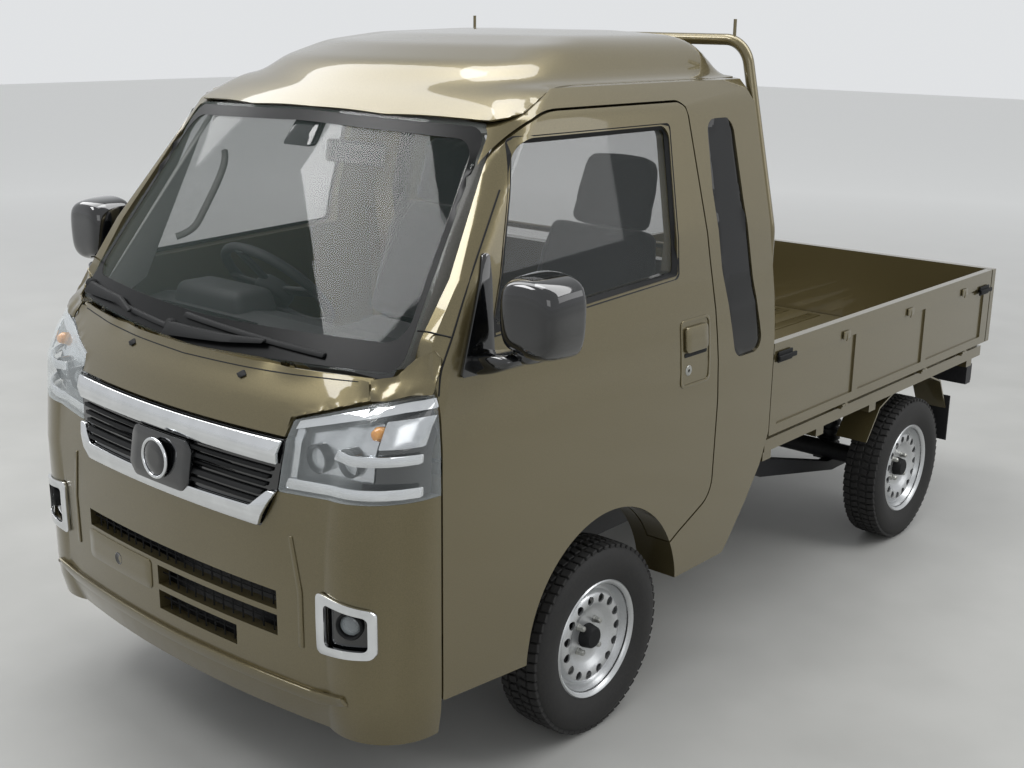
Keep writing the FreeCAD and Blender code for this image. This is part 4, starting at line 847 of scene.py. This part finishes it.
def tyre_of(centre):
    """One tyre: the carcass and its ring of tread blocks."""
    carcass = turned(CARCASS, centre, AXIS, 96)
    blocks = []
    for x, wide, long, fall, twist in BLOCKS:
        rubber = block(centre + Vector((x, 0, TREAD_LEVEL - fall / 4)) * MM, (wide, long, 12),
                       (0, math.copysign(math.radians(fall), x), 0))
        edit(rubber)
        bpy.ops.transform.rotate(value=math.radians(twist), orient_axis="Z",
                                 center_override=centre + Vector((x, 0, TREAD_LEVEL)) * MM)
        blocks.append(modified(rubber, "BEVEL", width=1.5 * MM, segments=1))
    tread = joined(blocks)
    edit(tread)
    bpy.ops.mesh.spin(steps=PITCHES, angle=math.tau, center=centre, axis=AXIS, dupli=True)
    activate(tread)
    return joined([carcass, tread])


front_centre = Vector((AXLE.x, AXLE.y, WHEEL_RADIUS))
rear_centre = Vector((REAR_AXLE.x, REAR_AXLE.y, WHEEL_RADIUS))
hub_nuts = [turned(NUT, place, AXIS, 6) for place in around(front_centre, NUT_CIRCLE, NUTS, 0.5)]
WHEEL_PARTS = (                      # base, name, finish, slot and the replaced node
    (steel_wheel(front_centre), "steel_wheel", wheel_paint, "wheel_silver", "rim"),
    (turned(CAP, front_centre, AXIS, 40), "wheel_cap", *BLACK, None),
    (joined(hub_nuts), "wheel_nuts", zinc_plate, "wheel_silver", None),
    (tyre_of(front_centre), "tyre", tyre_rubber, "tyre_rubber", "tyre"),
)
for place, centre in (("front", front_centre), ("rear", rear_centre)):
    for side in ("left", "right"):
        for base, name, finish, slot, node in WHEEL_PARTS:
            piece = copy_of(base)
            piece.location = centre - front_centre
            activate(piece)
            bpy.ops.object.transform_apply(location=True)
            if side == "right":
                left_piece, piece = piece, mirror_of(piece)
                bpy.data.objects.remove(left_piece)
            settle(piece, f"{name}_{place}_{side}", finish, slot, f"wheel_{place}_{side}")
            if node:
                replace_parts(piece, f"{node}_{place}_{side}")
for base, *_ in WHEEL_PARTS:
    bpy.data.objects.remove(base)

# %% [markdown]
# Each door has a rubber seal round its glass and a pull handle in a shallow, upright recess, which
# reads from its rim, from the flap and lock inside it, and from a strip of painted shade under the
# flap.

# %% Door trim and handles
SEAL_OUTER = [(-446, 1184), (314, 1214), (326, 1330), (357, 1618), (-276, 1618)]
SEAL_INNER = [(-414, 1206), (298, 1232), (308, 1330), (338, 1600), (-262, 1600)]
LOCK = [(-2, 15), (3, 15), (4.5, 13), (4.5, 5), (2.5, 4.5), (2.5, 0.01)]
door_pieces = [
    patch("door_seal_left", SEAL_OUTER, 0.3, 1.5, *BLACK, "door_left", round_by=16, step=40,
          across="y", hole=SEAL_INNER, hole_round=14),
    patch("handle_rim_left", rect(304, 911, 448, 1100), 0.1, 2.5, *PAINT, "door_left", round_by=18,
          step=60, across="y", edge=1, hole=rect(312, 919, 440, 1092), hole_round=14),
    patch("handle_flap_left", rect(322, 1008, 430, 1080), 0.2, 9, *PAINT, "door_left", round_by=14,
          across="y", edge=3.5),
    # A black strip under the flap is painted shade for the finger recess.
    patch("handle_gap_left", rect(322, 996, 430, 1008), 0.3, 1, *BLACK, "door_left", round_by=4,
          across="y"),
    settle(turned(LOCK, spot(735, 342, 958), AXIS, 28), "door_lock_left", zinc_plate,
           "black_plastic", "door_left"),
]
for piece in door_pieces:
    other_side(piece)


# %% [markdown]
# A gloss black mirror head starts as its outline seen from the front; it is drawn forward in steps
# that get smaller, and subdivision blends the steps. A foot and a slim three-cornered plate carry
# it on the door.

# %% Mirrors
def stepped(outline, level, steps, smooth=2):
    """A rounded body: an outline seen from the front, drawn forward in (distance, scale) steps."""
    piece = flat_outline(outline)
    edit(piece)
    across, up = (sum(values) / len(outline) for values in zip(*outline))
    middle = spot(across, 0, up)
    middle.y = START["x"]
    back = Vector((0, spot(0, level, 0).y - START["x"], 0))
    bpy.ops.transform.translate(value=back)
    done = 1.0
    for distance, scale in steps:
        forward = Vector((0, -distance * MM, 0))
        bpy.ops.mesh.extrude_region_move(TRANSFORM_OT_translate={"value": forward})
        bpy.ops.transform.resize(value=(scale / done, 1, scale / done), center_override=middle)
        done = scale
    bpy.ops.mesh.select_all(action="SELECT")
    bpy.ops.mesh.remove_doubles(threshold=WELD)
    bpy.ops.mesh.normals_make_consistent(inside=False)
    return modified(piece, "SUBSURF", levels=smooth)


HEAD = [(786, 1172), (838, 1170), (874, 1156), (930, 1166), (946, 1205), (948, 1290), (940, 1330),
        (905, 1350), (850, 1352), (800, 1346), (776, 1322), (774, 1240)]
FOOT = [(800, 1150), (852, 1140), (872, 1166), (868, 1196), (792, 1196)]
ARM = [(700, 1112), (742, 1108), (842, 1144), (846, 1172), (790, 1176), (738, 1160), (700, 1160)]
PANE = [(792, 1186), (838, 1184), (876, 1172), (926, 1182), (934, 1210), (936, 1290), (926, 1322),
        (900, 1336), (806, 1332), (788, 1312)]
SAIL = [(-560, 1116), (-450, 1110), (-424, 1374), (-440, 1374)]
mirror_parts = [
    stepped(HEAD, -382, ((0, 1.0), (14, 1.0), (56, 0.985), (44, 0.9), (12, 0.74), (2, 0.4))),
    stepped(FOOT, -398, ((0, 1.0), (10, 1.0), (50, 0.96), (30, 0.7))),
    stepped(ARM, -440, ((0, 1.0), (10, 1.0), (60, 0.96), (14, 0.8))),
    patch("sail", SAIL, 0.5, 9, *GLOSS, "door_left", round_by=8, across="y", edge=3),
]
mirror = settle(joined(mirror_parts), "mirror_shell_left", *GLOSS, "door_left", 50)
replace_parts(mirror, "mirror_left")
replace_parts(other_side(mirror), "mirror_right")
other_side(settle(stepped(PANE, -379, ((0, 1.0), (4, 1.0)), 1), "mirror_glass_left", mirror_silver,
                  "gloss_black", "door_left"))


# %% [markdown]
# Most moulded trim inside the cab starts as a rounded block: a cube whose upper face is drawn in
# and whose edges are bevelled.

# %% Moulded blocks
def moulding(name, centre, size_mm, radius, finish, slot, body="truck", taper=1.0, lean=0.0):
    """A rounded block, narrower at the top, leaning about the cross axis by some degrees."""
    piece = block(centre, size_mm, (math.radians(lean), 0, 0))
    edit(piece)
    bpy.ops.mesh.select_all(action="DESELECT")
    activate(piece)
    for face in piece.data.polygons:
        face.select = face.normal.z > 0.8
    bpy.ops.object.mode_set(mode="EDIT")
    bpy.ops.mesh.select_mode(type="FACE")
    bpy.ops.transform.resize(value=(taper, taper, 1))
    modified(piece, "BEVEL", width=radius * MM, segments=4)
    return settle(piece, name, finish, slot, body)


# %% [markdown]
# The dash carries an instrument hood, a centre panel, a glove box lid, four vents, and two long
# slotted strips that blow on the windscreen.

# %% Dash
WHEEL_X = -335
DASH = (dash_plastic, "interior_dark")
moulding("instrument_hood", spot(WHEEL_X, -395, 1108), (330, 150, 96), 26, *DASH, taper=0.86)
moulding("centre_panel", spot(20, -325, 985), (250, 60, 190), 14, gloss_black, "interior_dark")
moulding("glove_lid", spot(330, -316, 960), (330, 18, 150), 8, *DASH)
for index, x in enumerate((-520, -95, 140, 520)):
    moulding(f"air_vent_{index}", spot(x, -318, 1052), (96, 34, 52), 8, black_plastic,
             "interior_dark")
slats = []
for x in (-270, 270):
    clear()
    bpy.ops.mesh.primitive_grid_add(x_subdivisions=34, y_subdivisions=2, size=1,
                                    location=spot(x, -520, 1097),
                                    rotation=(math.radians(8.2), 0, 0))
    strip = bpy.context.object
    strip.scale = (0.42, 0.05, 1)
    bpy.ops.object.transform_apply(location=True, rotation=True, scale=True)
    slats.append(modified(strip, "WIREFRAME", thickness=5 * MM, use_even_offset=False))
settle(joined(slats), "defroster_grilles", black_plastic, "interior_dark")

# %% [markdown]
# The rim is a torus, and each of three spokes is a block that reaches to it from a rounded pad. The
# whole leans to the column's angle at the end.

# %% Steering wheel
SPOKES = (-8, 188, 270)              # degrees round the rim
COLUMN_LEAN = -46                    # degrees from the upright
RIM_RADIUS, GRIP_RADIUS = 0.176, 0.0145
clear()
bpy.ops.mesh.primitive_torus_add(major_radius=RIM_RADIUS, minor_radius=GRIP_RADIUS,
                                 major_segments=80, minor_segments=16)
wheel_parts = [bpy.context.object]
for turn in SPOKES:
    spoke = block((0.105, 0, -0.012), (150, 34, 14))
    edit(spoke)
    bpy.ops.transform.rotate(value=math.radians(-turn), orient_axis="Z", center_override=(0, 0, 0))
    wheel_parts.append(modified(spoke, "BEVEL", width=6 * MM, segments=3))
clear()
bpy.ops.mesh.primitive_cylinder_add(vertices=48, radius=0.06, depth=0.05, location=(0, 0, -0.018))
wheel_parts.append(modified(bpy.context.object, "BEVEL", width=18 * MM, segments=4,
                            limit_method="ANGLE"))
helm = joined(wheel_parts)
bpy.ops.object.transform_apply(location=True, rotation=True, scale=True)
helm.rotation_euler.x = math.radians(COLUMN_LEAN)
helm.location = spot(WHEEL_X, -205, 1121)
settle(helm, "steering_wheel_rim", dash_plastic, "black_plastic", "steering_wheel")
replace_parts(helm, "steering_wheel")

# %% [markdown]
# Seats are foam in a cloth cover, so they bulge between their seams. A rounded block is remeshed,
# blown up a little by a short cloth run with pressure, and smoothed.

# %% Seats
SWELL_LIMIT = 14 * MM
CLOTH_STEPS = 15


def stuffed(name, centre, size_mm, lean, pull):
    """A padded form: its top is drawn in, then it is inflated by the cloth solver."""
    pad = block(centre, size_mm, (math.radians(lean), 0, 0))
    edit(pad)
    bpy.ops.mesh.subdivide(number_cuts=3)
    activate(pad)
    upright = Matrix.Rotation(math.radians(-lean), 3, "X")
    for vertex in pad.data.vertices:
        flat = upright @ (vertex.co - centre)
        rise = flat.z / (size_mm[2] * MM / 2)
        vertex.co.x = centre.x + flat.x * (1 - pull * max(rise, 0) ** 2)
    soft_edges(pad, min(size_mm) * 0.25, 4)
    modified(pad, "REMESH", mode="VOXEL", voxel_size=11 * MM)
    rest = [v.co.copy() for v in pad.data.vertices]
    cloth = pad.modifiers.new("foam", "CLOTH")
    cloth.settings.use_pressure = True
    cloth.settings.uniform_pressure_force = 4
    cloth.settings.effector_weights.gravity = 0
    for step in range(1, CLOTH_STEPS + 1):
        bpy.context.scene.frame_set(step)
    bpy.ops.object.modifier_apply(modifier=cloth.name)
    bpy.context.scene.frame_set(1)
    for vertex, start in zip(pad.data.vertices, rest):
        move = vertex.co - start
        if move.length > SWELL_LIMIT:
            vertex.co = start + move.normalized() * SWELL_LIMIT
    modified(pad, "SMOOTH", iterations=4)
    settle(pad, f"{name}_left", seat_cloth, "seat_cloth", angle=60)
    twin = other_side(pad)
    return pad


cushion = stuffed("seat_cushion", spot(330, 150, 852), (430, 460, 100), 3, 0.05)
stuffed("seat_back", spot(330, 424, 1110), (420, 95, 410), -17, 0.16)
stuffed("headrest", spot(330, 536, 1392), (250, 84, 210), -17, 0.16)
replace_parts(cushion, "seats")


# %% [markdown]
# Some trim doesn't lie on a panel: a folded sheet is drawn through corners in the room, and a bar
# follows a smooth line. Grey trim of this kind covers the windscreen pillars.

# %% Free sheets and bars, and the pillar trim
INNER_TRIM = (pale_trim, "cab_inner_paint")
TRIM = [(596, -628, 1124), (602, -540, 1112), (600, -470, 1150), (548, -272, 1590),
        (520, -262, 1622), (508, -272, 1610)]


def sheet_of(name, places, thickness, finish, slot):
    """A soft-edged sheet through places given in millimetres."""
    piece = chain([spot(*place) for place in places])
    bpy.ops.mesh.edge_face_add()
    bpy.ops.mesh.quads_convert_to_tris()
    activate(piece)
    modified(piece, "SOLIDIFY", thickness=thickness * MM, offset=0)
    soft_edges(piece, thickness * 0.4)
    return settle(piece, name, finish, slot)


def tube(name, route, radius, finish, slot, body="truck"):
    """A round bar along a smooth line through a few places, in millimetres."""
    clear()
    bpy.ops.curve.primitive_nurbs_path_add()
    bar = bpy.context.object
    spline = bar.data.splines[0]
    while len(spline.points) < len(route):
        spline.points.add(1)
    for index, point in enumerate(spline.points):
        point.co = (*spot(*route[min(index, len(route) - 1)]), 1)
    spline.order_u = 3
    spline.use_endpoint_u = True
    bar.data.bevel_depth = radius * MM
    bar.data.bevel_resolution = 4
    bar.data.use_fill_caps = True
    bpy.ops.object.convert(target="MESH")
    edit(bar)
    bpy.ops.mesh.remove_doubles(threshold=WELD)
    return settle(bar, name, finish, slot, body)


other_side(sheet_of("pillar_trim_left", TRIM, 6, *INNER_TRIM))

# %% [markdown]
# A corner panel closes the body between hood, headlamp, windscreen foot and door. Its edge is known
# at a dozen places; inside, every corner takes a mean of those levels, weighed by nearness, and is
# then smoothed. Dark beads along the door's edges are painted shade for the gaps round the door.

# %% Corner panels and painted shade in the door gaps
CORNER_EDGE = [(584, -688, 1106), (594, -708, 1074), (606, -711, 1064), (650, -700, 1074),
               (690, -672, 1088), (721, -632, 1090), (714, -611, 1129), (708, -590, 1160),
               (690, -597, 1180), (660, -611, 1160), (640, -640, 1140), (630, -664, 1122)]
CORNER_FACE = [(583, 1109), (601, 1068), (640, 1074), (690, 1091), (721, 1091), (715, 1129),
               (709, 1160), (690, 1180), (654, 1158), (634, 1122)]
DOOR_GAP_SHADE_LINES = (
    [(724, -623, 1086), (715, -611, 1129), (710, -590, 1160), (705, -559, 1206),
     (695, -519, 1269), (683, -471, 1340), (665, -407, 1420), (646, -341, 1503)],
    [(648, -612, 1219), (663, -594, 1216), (682, -582, 1211), (705, -561, 1204)])
corner_panel = cut_strips(flat_outline(CORNER_FACE), 9)
activate(corner_panel)
known = np.array([spot(*place)[:] for place in CORNER_EDGE])
for vertex in corner_panel.data.vertices:
    apart = np.hypot(known[:, 0] - vertex.co.x, known[:, 2] - vertex.co.z) + MM
    weight = 1 / apart ** 3
    vertex.co.y = float((known[:, 1] / apart ** 3).sum() / weight.sum()) - 2 * MM
relaxed(corner_panel, "x", 6)
modified(corner_panel, "SOLIDIFY", thickness=4 * MM, offset=0)
other_side(settle(corner_panel, "corner_panel_left", *PAINT, angle=60))
# Dark beads along the door's edges are painted shade for the door gaps.
seams = [tube("seam", route, 2.2, *BLACK) for route in DOOR_GAP_SHADE_LINES]
other_side(settle(joined(seams), "pillar_seams_left", *BLACK))

# %% [markdown]
# Each pillar has a grab handle, and a mirror and a black camera box hang at the top of the glass.
# The deck runs on under the raised back of the cab, where a painted wall ends it.

# %% Grab handles, inner mirror and deck wall
GRAB = [(555, -392, 1262), (528, -352, 1275), (508, -322, 1340), (494, -272, 1430),
        (498, -246, 1482), (514, -238, 1498)]
other_side(tube("grab_handle_left", GRAB, 10, *INNER_TRIM))
patch("camera_box", [(-55, 1562), (55, 1562), (48, 1634), (-48, 1634)], -34, 24, gloss_black,
      "interior_dark", round_by=10, edge=4)
moulding("cab_mirror", spot(0, -195, 1530), (220, 22, 62), 9, gloss_black, "interior_dark",
         lean=-8)
sheet_of("deck_front_wall", [(x, 478, z) for x, z in rect(-604, 648, 604, 794)], 3, *PAINT)

# %% [markdown]
# The side gates close with levers and carry rope hooks, which lie nearly flat because an open gate
# must clear the tyre. The deck has long shallow ribs that keep the sheet stiff.

# %% Gate levers, rope hooks and deck ribs
GATE_OUT = 737
HOOK = ((0, 906), (2, 903), (3, 888), (1, 876))
gate_parts = []
for y in (1272, 1750, 2218):
    gate_parts.append(moulding("hook_plate", spot(GATE_OUT, y, 897), (6, 46, 26), 2.5, *PAINT,
                               "gate_left"))
    gate_parts.append(tube("hook", [(GATE_OUT + x, y, z) for x, z in HOOK], 2.2, *PAINT,
                           "gate_left"))
other_side(settle(joined(gate_parts), "gate_hooks_left", *PAINT, "gate_left"))
levers = []
for y, z in ((871, 903), (2405, 878)):
    levers.append(moulding("lever_plate", spot(GATE_OUT + 1, y, z), (6, 84, 34), 2.5, *BLACK,
                           "gate_left"))
    levers.append(moulding("lever", spot(GATE_OUT + 7, y + 6, z - 2), (8, 104, 15), 3, *BLACK,
                           "gate_left"))
other_side(settle(joined(levers), "gate_levers_left", *BLACK, "gate_left"))
ribs = [moulding("rib", spot(x, 1660, 660.8), (58, 1560, 4), 1.8, *PAINT)
        for x in range(-600, 601, 150)]
settle(joined(ribs), "deck_ribs", *PAINT)

# %% [markdown]
# Each tail lamp has three bands on a dark housing: red for the stop lamp, amber for the signal and
# clear for reversing.

# %% Tail lamps
BANDS = ((0.0, 0.5, red_lens), (0.5, 0.78, amber_plastic), (0.78, 1.0, satin_chrome))
tail_low, tail_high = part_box("tail_lamps")
lamp_width = tail_high.x - spot(545, 0, 0).x
for index, (start, end, finish) in enumerate(BANDS):
    centre = Vector((tail_high.x - lamp_width * (start + end) / 2, tail_high.y + MM,
                     (tail_low.z + tail_high.z) / 2))
    other_side(moulding(f"tail_band_{index}_left", centre,
                        (lamp_width / MM * (end - start) - 3, 10, 56), 3, finish, "lamp_red"))

# %% [markdown]
# Glossy paint shows lights as shapes, so they are large and soft. Two wide panels overhead give the
# roof and hood their bright bands, two more model the nose and the left side, a small one lies in
# the windscreen as a reflection, and the pale world fills the shadows.

# %% Floor and light
# The floor's colour turns paler with distance: painted light, which makes the far floor as bright
# as the backdrop.
PAINTED_LIGHT_FROM, PAINTED_LIGHT_TO = 3.5, 11.0       # metres from the truck, where the floor turns paler
FILL, BACKDROP = 0.72, 0.86          # the world's strength as light, and as seen by the camera
clear()
bpy.ops.mesh.primitive_plane_add(size=60, location=(0, 0, 0))
floor = bpy.context.object
floor.name = "studio_floor"
floor_paint = surface("pale_floor", "#a3a3a0", "#aaaaa7", 400, 0.0, 0.5, 0.05)
floor.data.materials.append(floor_paint)
tree = floor_paint.node_tree
paint_socket = tree.nodes["Principled BSDF"].inputs["Base Color"]
reach = add(tree, "VectorMath", {"operation": "LENGTH"})
tree.links.new(add(tree, "TexCoord").outputs["Object"], reach.inputs[0])
painted_light_fade = add(tree, "MapRange", {"From Min": PAINTED_LIGHT_FROM, "From Max": PAINTED_LIGHT_TO},
           Value=reach.outputs["Value"])
blend = add(tree, "MixRGB", {"Color2": linear("#f4f4f2")}, Fac=painted_light_fade.outputs["Result"],
            Color1=paint_socket.links[0].from_socket)
tree.links.new(blend.outputs["Color"], paint_socket)
LIGHTS = (                           # name, place, aim, width, depth and power in watts
    ("ceiling_panel", (-3.0, -0.8, 5.2), (-1.0, -0.8, 0), 2.0, 7.0, 130),
    ("overhead_panel", (1.7, 1.0, 5.2), (0.5, 0.6, 0), 2.2, 8.0, 230),
    ("front_left_panel", (5.5, -5.0, 3.2), (0, 0, 0.8), 4.0, 2.5, 40),
    ("left_panel", (5.5, 3.0, 3.0), (0, 0.3, 0.8), 4.0, 2.0, 30),
    ("screen_panel", (-2.35, -3.45, 4.9), (0.2, -1.3, 1.4), 2.3, 1.4, 85),
)
for name, place, aim, width, depth, power in LIGHTS:
    lamp = bpy.data.lights.new(name, "AREA")
    lamp.shape = "RECTANGLE"
    lamp.size, lamp.size_y, lamp.energy = width, depth, power
    holder = bpy.data.objects.new(name, lamp)
    holder.location = place
    holder.visible_camera = False
    holder.rotation_euler = (Vector(aim) - Vector(place)).to_track_quat("-Z", "Y").to_euler()
    bpy.context.scene.collection.objects.link(holder)
world = bpy.data.worlds.new("studio_air")
world.use_nodes = True
bpy.context.scene.world = world
air = world.node_tree
backdrop = air.nodes["Background"]
path = add(air, "LightPath")
seen = add(air, "MapRange", {"To Min": FILL, "To Max": BACKDROP},
           Value=path.outputs["Is Camera Ray"])
backdrop.inputs["Color"].default_value = linear("#f0f2f4")
air.links.new(seen.outputs["Result"], backdrop.inputs["Strength"])

# %% [markdown]
# Last, the press form goes, because it was only a tool.

# %% Finish
bpy.data.objects.remove(cab_form)
